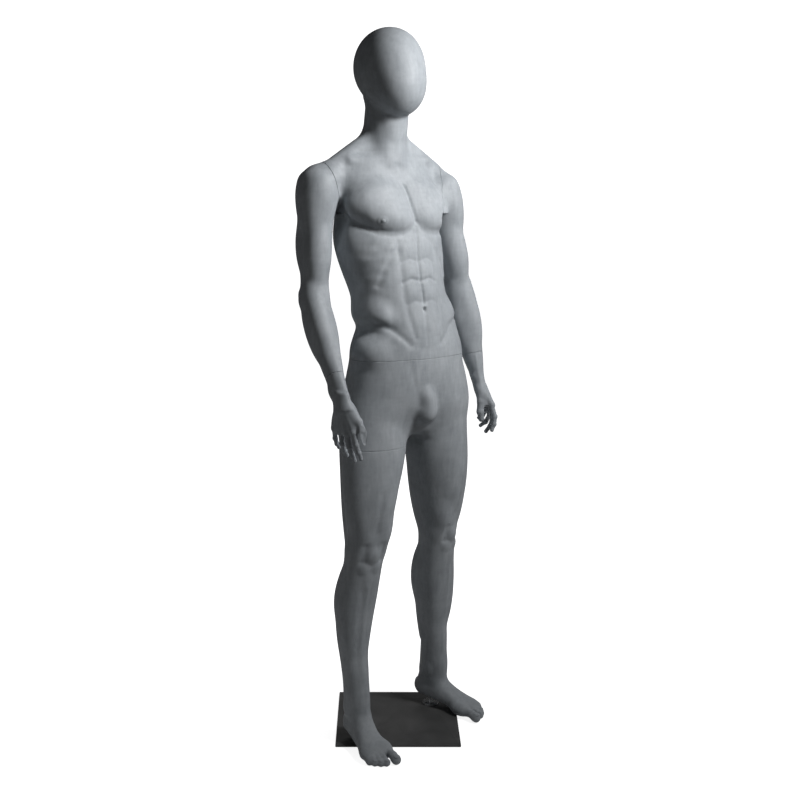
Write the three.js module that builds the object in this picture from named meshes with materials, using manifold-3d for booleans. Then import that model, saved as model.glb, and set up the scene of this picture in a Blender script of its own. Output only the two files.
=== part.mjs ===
// Full-body display mannequin: hollow glass-fibre mouldings that come apart at the waist, one thigh,
// the shoulders and the wrists, standing by one heel on a square steel base with a spigot.
// Millimetres. The figure faces -Y, its right side is -X and Z is up. The origin is the middle of
// the base's underside, on the floor.

import * as THREE from "three";
import { mergeVertices } from "three/addons/utils/BufferGeometryUtils.js";
import Module from "manifold-3d";

const wasm = await Module();
wasm.setup();

// ---------------------------------------------------------------- driving dimensions

const WALL = 4; // thickness of the mouldings
const SEAM = 0.5; // the open line between two mouldings
const PLAY = 0.4; // gap around a piece that sits inside another

const UNDERLAY = { thickness: 1, border: 2 };
const PLATE = { side: 340, thickness: 5, turn: THREE.MathUtils.degToRad(-30) };
const PLATE_TOP = UNDERLAY.thickness + PLATE.thickness;

const WAIST_Z = 1048;
const THIGH_Z = 818;

const ROD = { radius: 5, top: 165, x: 134, y: 36 };
const TUBE = { outer: 8, bore: 5.4, bottom: 34, top: 180 };

const LIMBS = {
  right: {
    side: -1,
    shoulder: [-208, 56, 1492],
    elbow: [-235, 34, 1205],
    wrist: [-235, -118, 955],
    seam: { at: [-182, 56, 1497], out: [-0.946, 0, -0.323] },
    wristSeam: 0.74, // share of the forearm that belongs to the arm
    hand: { along: [0.17, -0.1, -0.98], thumb: [0.4, -0.9, 0], curl: 0.5 },
    hip: [-84, -22, 930],
    knee: [-142, -74, 535],
    ankle: [-158, -58, 105],
    bow: [-14, 14], // how far the calf's middle stands off the line from knee to ankle
    turnOut: 2,
    heelUp: 22,
  },
  left: {
    side: 1,
    shoulder: [160, 56, 1478],
    elbow: [222, 44, 1196],
    wrist: [246, -28, 950],
    seam: { at: [134, 56, 1483], out: [0.946, 0, -0.323] },
    wristSeam: 0.66,
    hand: { along: [0.25, -0.05, -0.97], thumb: [-0.35, -0.94, 0], curl: 1 },
    hip: [108, -16, 930],
    knee: [128, -6, 535],
    ankle: [139, 36, 110],
    bow: [3, 0],
    turnOut: 24,
    heelUp: 32,
  },
};

// A section is [height, middle x, middle y, reach to +x, to -x, to +y, to -y].
const TRUNK = [
  [838, 17, -24, 150, 150, 78, 58],
  [860, 17, -24, 168, 168, 92, 70],
  [920, 17, -23, 182, 182, 112, 88],
  [960, 16, -22, 182, 182, 112, 92],
  [1000, 15, -18, 177, 177, 106, 95],
  [1048, 13, -13, 168, 168, 98, 96],
  [1090, 10, -8, 158, 158, 88, 95],
  [1130, 7, -2, 149, 149, 81, 94],
  [1170, 4, 6, 144, 144, 80, 94],
  [1220, 0, 13, 144, 144, 84, 97],
  [1270, -5, 22, 148, 148, 91, 101],
  [1320, -9, 29, 146, 151, 98, 104],
  [1370, -12, 35, 143, 152, 104, 106],
  [1410, -15, 39, 142, 152, 106, 106],
  [1450, -17, 43, 148, 156, 102, 98],
  [1490, -18, 46, 158, 158, 88, 82],
  [1520, -20, 50, 158, 164, 74, 68],
  [1548, -22, 54, 142, 158, 56, 52],
  [1572, -22, 56, 108, 128, 44, 42],
  [1596, -20, 55, 74, 88, 36, 40],
  [1616, -17, 54, 48, 50, 30, 40],
];

const HEAD_AND_NECK = [
  [1530, -17, 50, 60, 60, 60, 56],
  [1560, -17, 50, 66, 66, 62, 62],
  [1600, -17, 48, 62, 62, 60, 64],
  [1640, -16, 44, 58, 58, 62, 65],
  [1664, -14, 38, 57, 57, 64, 70],
  [1676, -13, 34, 57, 57, 67, 84],
  [1692, -13, 34, 59, 59, 73, 101],
  [1716, -13, 34, 66, 66, 84, 107],
  [1748, -13, 34, 76, 76, 94, 110],
  [1782, -13, 34, 84, 84, 103, 111],
  [1815, -13, 34, 83, 83, 101, 105],
  [1845, -13, 34, 73, 73, 88, 90],
  [1868, -13, 34, 56, 56, 67, 68],
  [1883, -13, 34, 34, 34, 43, 40],
  [1890, -13, 34, 11, 11, 14, 12],
];

// Leg profile for a knee at 530 and an ankle at 90: height, reach outward, inward, forward, backward.
const LEG = [
  [1012, 54, 46, 36, 48],
  [980, 78, 70, 64, 72],
  [930, 92, 82, 82, 84],
  [870, 91, 85, 82, 90],
  [818, 88, 84, 82, 88],
  [760, 82, 79, 80, 82],
  [700, 74, 73, 75, 76],
  [640, 65, 67, 67, 69],
  [590, 59, 62, 60, 62],
  [540, 56, 58, 57, 56],
  [500, 55, 54, 50, 57],
  [450, 57, 56, 43, 70],
  [400, 60, 58, 40, 78],
  [345, 56, 54, 37, 74],
  [290, 48, 46, 36, 61],
  [240, 41, 39, 34, 50],
  [195, 35, 34, 33, 43],
  [155, 32, 32, 33, 41],
  [120, 33, 34, 36, 41],
  [80, 31, 32, 36, 40],
];
const TRUNK_HIP = 930; // height of the hip joints
const LEG_KNEE = 530;
const LEG_ANKLE = 90;

// Arm profiles: distance down the limb, then reach outward, inward, forward, backward.
const UPPER_ARM = [
  [-20, 44, 48, 50, 52],
  [30, 50, 44, 54, 54],
  [90, 47, 42, 50, 52],
  [140, 45, 41, 50, 50],
  [190, 44, 40, 47, 48],
  [240, 42, 38, 42, 42],
  [288, 41, 36, 40, 38],
  [306, 34, 32, 34, 34],
];
const FOREARM = [
  [-20, 36, 34, 36, 34],
  [10, 43, 39, 40, 39],
  [50, 44, 39, 38, 43],
  [90, 42, 38, 39, 43],
  [140, 37, 34, 36, 40],
  [190, 29, 28, 31, 34],
  [230, 23, 23, 28, 31],
  [262, 20, 20, 28, 30],
];

// Hand profile along the hand from the wrist: reach to the back of the hand, the palm, the thumb side
// and the little finger side.
const PALM = [
  [-28, 19, 19, 28, 29],
  [0, 19, 19, 28, 29],
  [25, 18, 18, 33, 31],
  [55, 16, 17, 39, 36],
  [82, 13, 15, 41, 39],
  [98, 8, 9, 38, 37],
];
// Fingers from the index finger: place across the hand, root, length, radius, spread and bend.
const FINGERS = [
  [31, 84, 78, 9.6, 0.1, 0.3],
  [10.5, 90, 86, 9.8, 0.02, 0.42],
  [-10.5, 86, 80, 9.3, -0.05, 0.52],
  [-30, 78, 64, 8.4, -0.13, 0.55],
];
const FINGER_JOINTS = [
  { share: 0.46, bend: 0.56, radius: 0.93 },
  { share: 0.3, bend: 1.6, radius: 0.86 },
  { share: 0.24, bend: 1.12, radius: 0.74 },
];
const THUMB = [
  { at: [14, -5, 20], radius: 15 },
  { at: [56, -14, 42], radius: 11.5 },
  { at: [88, -18, 52], radius: 10 },
  { at: [114, -21, 56], radius: 6.5 },
];

// Foot profile along the foot from under the ankle: middle, reach outward, inward, height of the top.
const FOOT = [
  [-62, 0, 8, 8, 60],
  [-56, 0, 20, 20, 78],
  [-40, 0, 28, 28, 98],
  [-15, 0, 31, 31, 112],
  [15, 0, 33, 32, 108],
  [42, 2, 38, 32, 92],
  [72, 3, 43, 34, 72],
  [102, 5, 48, 41, 54],
  [124, 7, 50, 45, 40],
  [138, 8, 44, 42, 30],
];
// Toes from the big toe: place across at the root and the tip, where it ends, height and radius.
const TOES = [
  { root: -26, tip: -29, end: 180, height: 15, radius: 13 },
  { root: -2, tip: 0, end: 176, height: 12, radius: 10.5 },
  { root: 15, tip: 17, end: 168, height: 11.5, radius: 10 },
  { root: 31, tip: 31, end: 158, height: 11, radius: 9.5 },
  { root: 45, tip: 42, end: 146, height: 10.5, radius: 9 },
];

// Bayonet joints between the mouldings: a peg fitting on one piece, a slotted socket on the other.
const FITTINGS = {
  waist: { disc: 48, peg: 10, pin: 18, screws: 3 },
  limb: { disc: 33, peg: 7, pin: 13, screws: 2 },
};
const FITTING = {
  thickness: 3,
  recess: 0.7, // from the seam's middle to the disc's face
  pinRadius: 3.5,
  boardThickness: 12,
  boardStart: 4.1, // from the seam's middle to the closing board
};
const SCREW = { shank: 2, head: 4, headHeight: 2.2, length: 12 };
const WRIST = { flange: 13, thickness: 2.5, peg: 4, length: 16, board: 9 };

// ---------------------------------------------------------------- materials

const material = (color, roughness, metalness) =>
  new THREE.MeshStandardMaterial({ color, roughness, metalness });
const MATERIALS = {
  body: material(0x8d949b, 0.62, 0),
  board: material(0xb08a5a, 0.8, 0),
  zinc: material(0xc9ccd0, 0.35, 1),
  chrome: material(0xe6e8ea, 0.08, 1),
  plate: material(0x2b2c2e, 0.4, 0.6),
  rubber: material(0x151515, 0.9, 0),
};

// ---------------------------------------------------------------- solids

// The manifold-3d solid of a closed three.js geometry, turned to face outward.
function solid(geometry) {
  const bare = geometry.index ? geometry.toNonIndexed() : geometry.clone();
  const points = new THREE.BufferGeometry().setAttribute(
    "position",
    bare.getAttribute("position"),
  );
  const merged = mergeVertices(points, 1e-3);
  const corners = Uint32Array.from(merged.index.array);
  const vertProperties = merged.attributes.position.array;
  const made = new wasm.Manifold(
    new wasm.Mesh({ numProp: 3, vertProperties, triVerts: corners }),
  );
  if (made.volume() > 0) return made;
  return new wasm.Manifold(
    new wasm.Mesh({ numProp: 3, vertProperties, triVerts: corners.reverse() }),
  );
}

function geometryOf(body) {
  const mesh = body.getMesh();
  const points = new Float32Array(mesh.numVert * 3);
  for (let i = 0; i < mesh.numVert; i++) {
    const start = i * mesh.numProp;
    points.set(mesh.vertProperties.subarray(start, start + 3), i * 3);
  }
  const geometry = new THREE.BufferGeometry();
  geometry.setAttribute("position", new THREE.BufferAttribute(points, 3));
  geometry.setIndex(new THREE.BufferAttribute(Uint32Array.from(mesh.triVerts), 1));
  geometry.computeVertexNormals();
  return geometry;
}

const join = (...solids) => solids.reduce((a, b) => a.add(b));
const cut = (from, ...tools) => tools.reduce((a, b) => a.subtract(b), from);

const vector = (values) => new THREE.Vector3(...values);

// Right-angled axes with `along` first and the second as near `toward` as it can be.
function axesAlong(along, toward) {
  const u = vector(along).normalize();
  const v = vector(toward).addScaledVector(u, -u.dot(vector(toward))).normalize();
  return { u, v, w: new THREE.Vector3().crossVectors(u, v) };
}

// A frame at `at` whose z axis is `up`, as a matrix.
function placed(at, up) {
  const turn = new THREE.Quaternion().setFromUnitVectors(
    new THREE.Vector3(0, 0, 1),
    vector(up).normalize(),
  );
  return new THREE.Matrix4().compose(vector(at), turn, new THREE.Vector3(1, 1, 1));
}

// A closed solid through sections along u: [u, v, w, reach to +v, -v, +w, -w].
function loft({ origin = [0, 0, 0], axes, sections, sides = 14, power = 2.1, inset = 0 }) {
  const last = sections.length - 1;
  const geometry = new THREE.CylinderGeometry(1, 1, 1, sides, last, false);
  const position = geometry.getAttribute("position");
  const point = new THREE.Vector3();
  for (let i = 0; i < position.count; i++) {
    const row = Math.round((0.5 - position.getY(i)) * last);
    const [u, v, w, ...reach] = sections[row];
    const [cos, sin] = [position.getX(i), position.getZ(i)];
    const across = reach[cos > 0 ? 0 : 1] - inset;
    const deep = reach[sin > 0 ? 2 : 3] - inset;
    const size = Math.hypot(cos, sin) < 0.5 ? 0 : radiusAt(cos / across, sin / deep, power);
    point.set(...origin);
    point.addScaledVector(axes.u, u);
    point.addScaledVector(axes.v, v + size * cos);
    point.addScaledVector(axes.w, w + size * sin);
    position.setXYZ(i, point.x, point.y, point.z);
  }
  return solid(geometry);
}

const radiusAt = (a, b, power) =>
  (Math.abs(a) ** power + Math.abs(b) ** power) ** (-1 / power);

const UPRIGHT = {
  u: new THREE.Vector3(0, 0, 1),
  v: new THREE.Vector3(1, 0, 0),
  w: new THREE.Vector3(0, 1, 0),
};

// A round rod through points with their own radii, its ends drawn in.
function rope(points, sides = 6) {
  const rows = [];
  points.forEach(({ at, radius }, i) => {
    const before = points[Math.max(i - 1, 0)].at;
    const after = points[Math.min(i + 1, points.length - 1)].at;
    rows.push({ at, along: vector(after).sub(vector(before)).normalize(), radius });
  });
  const tip = rows[rows.length - 1];
  const end = vector(tip.at).addScaledVector(tip.along, tip.radius * 0.7);
  rows.push({ at: end.toArray(), along: tip.along, radius: tip.radius * 0.55 });

  const geometry = new THREE.CylinderGeometry(1, 1, 1, sides, rows.length - 1, false);
  const position = geometry.getAttribute("position");
  const point = new THREE.Vector3();
  for (let i = 0; i < position.count; i++) {
    const row = rows[Math.round((0.5 - position.getY(i)) * (rows.length - 1))];
    const axes = axesAlong(row.along.toArray(), [0.13, 0.21, 1]);
    point.set(...row.at);
    point.addScaledVector(axes.v, row.radius * position.getX(i));
    point.addScaledVector(axes.w, row.radius * position.getZ(i));
    position.setXYZ(i, point.x, point.y, point.z);
  }
  return solid(geometry);
}

function ellipsoid(at, reach, sides = 12) {
  const geometry = new THREE.SphereGeometry(1, sides, sides / 2);
  geometry.scale(...reach).translate(...at);
  return solid(geometry);
}

// A cylinder on a frame's z axis from z0 to z1.
function cylinder(frame, radius, z0, z1, sides = 12) {
  const geometry = new THREE.CylinderGeometry(radius, radius, z1 - z0, sides);
  geometry.rotateX(Math.PI / 2).translate(0, 0, (z0 + z1) / 2).applyMatrix4(frame);
  return solid(geometry);
}

// A block on a frame, centred on its z axis, from z0 to z1.
function block(frame, width, depth, z0, z1) {
  const geometry = new THREE.BoxGeometry(width, depth, z1 - z0);
  geometry.translate(0, 0, (z0 + z1) / 2).applyMatrix4(frame);
  return solid(geometry);
}

// A turned piece on a frame's z axis; its profile is [radius, z] pairs from axis to axis.
function turned(frame, profile, sides = 16) {
  const outline = profile.map(([radius, z]) => new THREE.Vector2(radius, z));
  const geometry = new THREE.LatheGeometry(outline, sides);
  geometry.rotateX(Math.PI / 2).applyMatrix4(frame);
  return solid(geometry);
}

const FAR = 2000; // beyond any piece

// What lies above (or below) a frame's xy plane, moved along its axis by `shift`.
const above = (frame, shift) => block(frame, FAR, FAR, shift, FAR);
const below = (frame, shift) => block(frame, FAR, FAR, -FAR, shift);

// ---------------------------------------------------------------- joint frames
// Each stands on its seam, its z axis pointing from the peg's piece into the socket's piece.

function forearmFrame(limb) {
  const elbow = vector(limb.elbow);
  const along = vector(limb.wrist).sub(elbow);
  const at = elbow.addScaledVector(along, limb.wristSeam);
  return placed(at.toArray(), along.negate().toArray());
}

const thighMiddle = legMiddle(LIMBS.right, THIGH_Z);
const JOINTS = {
  waist: placed([13, -13, WAIST_Z], [0, 0, 1]),
  thigh: placed([...thighMiddle, THIGH_Z], [0, 0, 1]),
  rightShoulder: shoulderFrame(LIMBS.right),
  leftShoulder: shoulderFrame(LIMBS.left),
  rightWrist: forearmFrame(LIMBS.right),
  leftWrist: forearmFrame(LIMBS.left),
};

function shoulderFrame({ seam }) {
  const inward = seam.out.map((value) => -value);
  return placed(seam.at, inward);
}

// ---------------------------------------------------------------- the figure's shapes

// Middle of a leg at a height: along the thigh, then along the shin with its bow.
function legMiddle(limb, z) {
  const { hip, knee, ankle, bow } = limb;
  if (z >= knee[2]) {
    const t = (z - knee[2]) / (hip[2] - knee[2]);
    return [0, 1].map((i) => knee[i] + (hip[i] - knee[i]) * t);
  }
  const t = Math.min((knee[2] - z) / (knee[2] - ankle[2]), 1);
  const off = 4 * t * (1 - t);
  return [0, 1].map((i) => knee[i] + (ankle[i] - knee[i]) * t + bow[i] * off);
}

// Outward and forward directions of a leg.
function legAxes({ side, turnOut }) {
  const turn = THREE.MathUtils.degToRad(turnOut);
  return {
    u: new THREE.Vector3(0, 0, 1),
    v: new THREE.Vector3(side * Math.cos(turn), Math.sin(turn), 0),
    w: new THREE.Vector3(side * Math.sin(turn), -Math.cos(turn), 0),
  };
}

function leg(limb, inset = 0) {
  const { knee, ankle, hip } = limb;
  const axes = legAxes(limb);
  const sections = LEG.map(([height, ...reach]) => {
    const high = height >= LEG_KNEE;
    const [from, to] = high ? [knee[2], hip[2]] : [ankle[2], knee[2]];
    const [low, top] = high ? [LEG_KNEE, TRUNK_HIP] : [LEG_ANKLE, LEG_KNEE];
    const z = from + ((height - low) * (to - from)) / (top - low);
    const middle = new THREE.Vector3(...legMiddle(limb, z), 0);
    return [z, middle.dot(axes.v), middle.dot(axes.w), ...reach];
  });
  return loft({ axes, sections, inset });
}

function foot(limb) {
  const across = legAxes(limb);
  const axes = { u: across.w, v: across.v, w: across.u };
  const origin = [limb.ankle[0], limb.ankle[1], 0];
  const sole = (u) => 4 + (limb.heelUp - 5) * THREE.MathUtils.clamp((118 - u) / 138, 0, 1);
  const heelRise = (u) => (u < -40 ? (-40 - u) * 0.9 : 0);
  const sections = FOOT.map(([u, middle, outward, inward, top]) => {
    const bottom = sole(u) + heelRise(u);
    const up = top - (bottom + 14);
    return [u, middle, bottom + 14, outward, inward, Math.max(up, 8), 14];
  });
  const body = loft({ origin, axes, sections, power: 2.3, sides: 12 });
  const toes = TOES.map(({ root, tip, end, height, radius }) => {
    const place = (u, v, w) =>
      new THREE.Vector3(...origin)
        .addScaledVector(axes.u, u)
        .addScaledVector(axes.v, v)
        .addScaledVector(axes.w, w)
        .toArray();
    return rope([
      { at: place(118, root, height + 5), radius },
      { at: place((118 + end) / 2, (root + tip) / 2, height + 6), radius },
      { at: place(end - radius, tip, height), radius: radius * 0.86 },
    ]);
  });
  return join(body, ...toes);
}

function trunk(inset = 0) {
  return loft({ axes: UPRIGHT, sections: TRUNK, power: 2.35, sides: 20, inset });
}

const chestMuscle = (side) => ellipsoid([-15 + side * 62, -30, 1432], [76, 36, 60]);
const buttock = (side) => ellipsoid([15 + side * 86, 36, 925], [88, 70, 84]);

// Axes of an arm segment: down the limb, outward, forward.
function armAxes(limb, from, to) {
  const along = vector(to).sub(vector(from)).toArray();
  const axes = axesAlong(along, [limb.side, 0, 0]);
  if (axes.w.y > 0) axes.w.negate();
  return axes;
}

const armSections = (profile) =>
  profile.map(([u, outward, inward, forward, backward]) => [
    u, 0, 0, outward, inward, forward, backward,
  ]);

function arm(limb, inset = 0) {
  const { shoulder, elbow, wrist } = limb;
  const upper = armAxes(limb, shoulder, elbow);
  const lower = armAxes(limb, elbow, wrist);
  const deltoid = ellipsoid(
    [shoulder[0] + limb.side * 2, shoulder[1], shoulder[2] - 16],
    [57 - inset, 62 - inset, 76 - inset],
  );
  return join(
    loft({ origin: shoulder, axes: upper, sections: armSections(UPPER_ARM), sides: 12, inset }),
    loft({ origin: elbow, axes: lower, sections: armSections(FOREARM), sides: 12, inset }),
    deltoid,
  );
}

function hand(limb) {
  const { along, thumb, curl } = limb.hand;
  const axes = axesAlong(along, thumb); // u along the hand, v to the thumb side
  const back = new THREE.Vector3().crossVectors(axes.u, axes.v);
  if (back.x * limb.side < 0) back.negate();
  const place = ([u, v, w]) =>
    vector(limb.wrist)
      .addScaledVector(axes.u, u)
      .addScaledVector(back, v)
      .addScaledVector(axes.v, w)
      .toArray();

  const palm = loft({
    origin: limb.wrist,
    axes: { u: axes.u, v: back, w: axes.v },
    sections: armSections(PALM),
    power: 2.3,
    sides: 12,
  });
  const fingers = FINGERS.map(([across, root, length, radius, spread, bend]) => {
    const points = [{ at: place([root - 24, -1, across * 0.86]), radius: radius * 0.9 }];
    let reach = [root, -1, across];
    let angle = 0.12 * bend;
    points.push({ at: place(reach), radius });
    for (const part of FINGER_JOINTS) {
      angle += bend * part.bend * curl;
      const step = length * part.share;
      reach = [
        reach[0] + step * Math.cos(angle) * Math.cos(spread),
        reach[1] - step * Math.sin(angle),
        reach[2] + step * Math.cos(angle) * Math.sin(spread),
      ];
      points.push({ at: place(reach), radius: radius * part.radius });
    }
    return rope(points);
  });
  const thumbPoints = THUMB.map(({ at, radius }) => ({ at: place(at), radius }));
  return join(palm, rope(thumbPoints), ...fingers);
}

// ---------------------------------------------------------------- assembling

const mannequin = new THREE.Group();

function addMesh(name, shape, look) {
  const geometry = shape.isBufferGeometry ? shape : geometryOf(shape);
  const mesh = new THREE.Mesh(geometry, look);
  mesh.name = name;
  mannequin.add(mesh);
  return mesh;
}

// The board that closes a moulding at a seam: the hollow's own shape, between two heights.
function closingBoard(frame, hollow, direction, thickness, ...holes) {
  const near = FITTING.boardStart;
  const [z0, z1] = direction > 0 ? [near, near + thickness] : [-near - thickness, -near];
  return cut(hollow.intersect(block(frame, 400, 400, z0, z1)), ...holes);
}

// Where a fitting's screws stand, as frames with z pointing out of their heads.
function screwFrames(frame, count, circle, direction, start) {
  const frames = [];
  for (let i = 0; i < count; i++) {
    const angle = start + (i * 2 * Math.PI) / count;
    const place = new THREE.Matrix4().makeTranslation(
      circle * Math.cos(angle),
      circle * Math.sin(angle),
      direction * FITTING.recess,
    );
    const flip = new THREE.Matrix4().makeRotationX(direction > 0 ? Math.PI : 0);
    frames.push(frame.clone().multiply(place).multiply(flip));
  }
  return frames;
}

// Countersunk screw, its head's face at z = 0 and its shank below; `gap` makes its hole.
function screw(frame, gap = 0) {
  const { shank, head, headHeight, length } = SCREW;
  const top = gap > 0 ? 1 : 0;
  return turned(frame, [
    [0, -length - gap],
    [shank + gap, -length - gap],
    [shank + gap, -headHeight],
    [head + gap, 0],
    ...(top ? [[head + gap, top]] : []),
    [0, top],
  ], 8);
}

// A bayonet joint: boards, fittings and screws on both sides of a seam.
function bayonet({ frame, kind, pegSide, socketSide }) {
  const { disc, peg, pin, screws } = FITTINGS[kind];
  const { thickness, recess, pinRadius, boardThickness, boardStart } = FITTING;
  const circle = disc - 8;

  const pegScrews = screwFrames(frame, screws, circle, -1, Math.PI / 2);
  const pinHeight = recess + thickness + pinRadius + 1;
  const pegFitting = join(
    cylinder(frame, disc, -recess - thickness, -recess, 18),
    cylinder(frame, peg, -recess - 1, pinHeight + pinRadius + 2),
    crossPin(frame, pinHeight, pin, pinRadius),
  );
  const pegBoard = closingBoard(
    frame, pegSide.hollow, -1, boardThickness, ...pegScrews.map((at) => screw(at, PLAY)),
  );
  addMesh(pegSide.board, pegBoard, MATERIALS.board);
  addMesh(pegSide.fitting, cut(pegFitting, ...pegScrews.map((at) => screw(at, PLAY))), MATERIALS.zinc);
  pegScrews.forEach((at, i) => addMesh(`${pegSide.screw}_${i + 1}`, screw(at), MATERIALS.zinc));

  const socketScrews = screwFrames(frame, screws, circle, 1, Math.PI / 2);
  const keyhole = join(
    cylinder(frame, peg + PLAY, 0, recess + thickness + 1),
    block(frame, 2 * (pinRadius + 1), 2 * (pin + 1.5), 0, recess + thickness + 1),
  );
  const socket = cylinder(frame, disc, recess, recess + thickness, 18);
  const pocket = cylinder(frame, pin + 3, boardStart - 1, boardStart + boardThickness + 1);
  const holes = socketScrews.map((at) => screw(at, PLAY));
  const socketBoard = closingBoard(frame, socketSide.hollow, 1, boardThickness, pocket, ...holes);
  addMesh(socketSide.board, socketBoard, MATERIALS.board);
  addMesh(socketSide.fitting, cut(socket, keyhole, ...holes), MATERIALS.zinc);
  socketScrews.forEach((at, i) => addMesh(`${socketSide.screw}_${i + 1}`, screw(at), MATERIALS.zinc));
}

// The bar through a peg's end, lying along the frame's x axis.
function crossPin(frame, height, half, radius) {
  const turn = new THREE.Matrix4().makeRotationY(Math.PI / 2);
  const at = frame.clone().multiply(new THREE.Matrix4().makeTranslation(0, 0, height)).multiply(turn);
  return cylinder(at, radius, -half, half, 10);
}

// A wrist: a flanged peg set in the hand turns in the board that closes the forearm.
function wristJoint(side, frame, armHollow) {
  const { flange, thickness, peg, length, board } = WRIST;
  const { recess, boardStart } = FITTING;
  const reach = boardStart + board;
  addMesh(
    `${side}_hand_peg`,
    join(
      cylinder(frame, flange, -thickness - recess, -recess),
      cylinder(frame, peg, -length, reach),
    ),
    MATERIALS.zinc,
  );
  const bore = cylinder(frame, peg + PLAY, 0, reach + 1);
  addMesh(`${side}_forearm_board`, closingBoard(frame, armHollow, 1, board, bore), MATERIALS.board);
}

// ---------------------------------------------------------------- base

function buildBase() {
  const frame = new THREE.Matrix4().makeTranslation(ROD.x, ROD.y, 0);
  const turn = new THREE.Matrix4().makeRotationZ(PLATE.turn);
  const boltHole = turned(frame, [
    [0, 0],
    [9, 0],
    [9, UNDERLAY.thickness + 0.5],
    [4.3, PLATE_TOP - 0.2],
    [4.3, PLATE_TOP + 1],
    [0, PLATE_TOP + 1],
  ]);
  const slab = block(turn, PLATE.side, PLATE.side, UNDERLAY.thickness, PLATE_TOP);
  addMesh("base_plate", cut(slab, boltHole), MATERIALS.plate);

  const threaded = cylinder(frame, 4.3, 0, PLATE_TOP + 22);
  const rod = turned(frame, [
    [0, PLATE_TOP + 0.3],
    [ROD.radius, PLATE_TOP + 0.3],
    [ROD.radius, ROD.top - 3],
    [ROD.radius - 2, ROD.top],
    [0, ROD.top],
  ]);
  addMesh("spigot_rod", cut(rod, threaded), MATERIALS.chrome);
  addMesh(
    "spigot_collar",
    turned(frame, [
      [ROD.radius + PLAY, PLATE_TOP + 0.3],
      [24, PLATE_TOP + 0.3],
      [24, PLATE_TOP + 2.5],
      [22, PLATE_TOP + 4],
      [ROD.radius + PLAY, PLATE_TOP + 5],
      [ROD.radius + PLAY, PLATE_TOP + 0.3],
    ], 28),
    MATERIALS.chrome,
  );
  addMesh(
    "spigot_bolt",
    turned(frame, [
      [0, UNDERLAY.thickness + 0.8],
      [8.3, UNDERLAY.thickness + 0.8],
      [4, PLATE_TOP - 0.1],
      [4, PLATE_TOP + 20],
      [0, PLATE_TOP + 20],
    ]),
    MATERIALS.zinc,
  );
  const sheetSide = PLATE.side - 2 * UNDERLAY.border;
  const sheet = block(turn, sheetSide, sheetSide, 0, UNDERLAY.thickness - 0.3);
  addMesh("base_underlay", cut(sheet, cylinder(frame, 12, -1, UNDERLAY.thickness)), MATERIALS.rubber);
}

// ---------------------------------------------------------------- mouldings

const HOLLOW_LEG_BOTTOM = 215;

function hollowLeg(limb, inset) {
  const floor = new THREE.Matrix4().makeTranslation(0, 0, 0);
  return leg(limb, inset).subtract(below(floor, HOLLOW_LEG_BOTTOM));
}

// Trunk, thigh stub and the leg that carries the socket, in one moulding.
function buildLowerBody() {
  const { right, left } = LIMBS;
  const stub = leg(right).intersect(above(JOINTS.thigh, SEAM / 2));
  const outside = join(
    trunk().intersect(below(JOINTS.waist, -SEAM / 2)),
    buttock(-1).intersect(above(JOINTS.thigh, SEAM / 2)),
    buttock(1).intersect(above(JOINTS.thigh, SEAM / 2)),
    stub,
    leg(left),
    foot(left),
  );
  const waistHollow = trunk(WALL);
  const legHollow = hollowLeg(left, WALL);
  const thighHollow = leg(right, WALL);
  const hollow = join(
    waistHollow,
    legHollow.intersect(below(JOINTS.waist, -SEAM / 2)),
    thighHollow.intersect(above(JOINTS.thigh, 0)),
  );

  const tubeFrame = new THREE.Matrix4().makeTranslation(ROD.x, ROD.y, 0);
  const setScrewFrame = placed([ROD.x, ROD.y, 122], [-0.407, 0.9135, 0]);
  addMesh(
    "pelvis_left_leg_shell",
    cut(
      outside,
      hollow,
      cylinder(tubeFrame, TUBE.outer + PLAY, 0, TUBE.top + PLAY),
      cylinder(setScrewFrame, 3.4, 0, 80),
    ),
    MATERIALS.body,
  );
  addMesh(
    "foot_socket_tube",
    cut(
      cylinder(tubeFrame, TUBE.outer, TUBE.bottom, TUBE.top),
      cylinder(tubeFrame, TUBE.bore, 0, ROD.top + 0.3),
      cylinder(setScrewFrame, 3.4, 0, 20),
    ),
    MATERIALS.zinc,
  );
  addMesh("socket_set_screw", cylinder(setScrewFrame, 3, ROD.radius + 0.8, 34, 12), MATERIALS.zinc);
  return { waist: trunk(WALL + PLAY), thigh: leg(right, WALL + PLAY) };
}

function buildRightLeg() {
  const limb = LIMBS.right;
  const outside = join(leg(limb), foot(limb)).intersect(below(JOINTS.thigh, -SEAM / 2));
  addMesh("right_leg_shell", cut(outside, hollowLeg(limb, WALL)), MATERIALS.body);
  return leg(limb, WALL + PLAY);
}

// The round hollow in the torso's side that takes the arm's end.
const ARM_SEAT = { radius: 84, depth: 90 };

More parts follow.
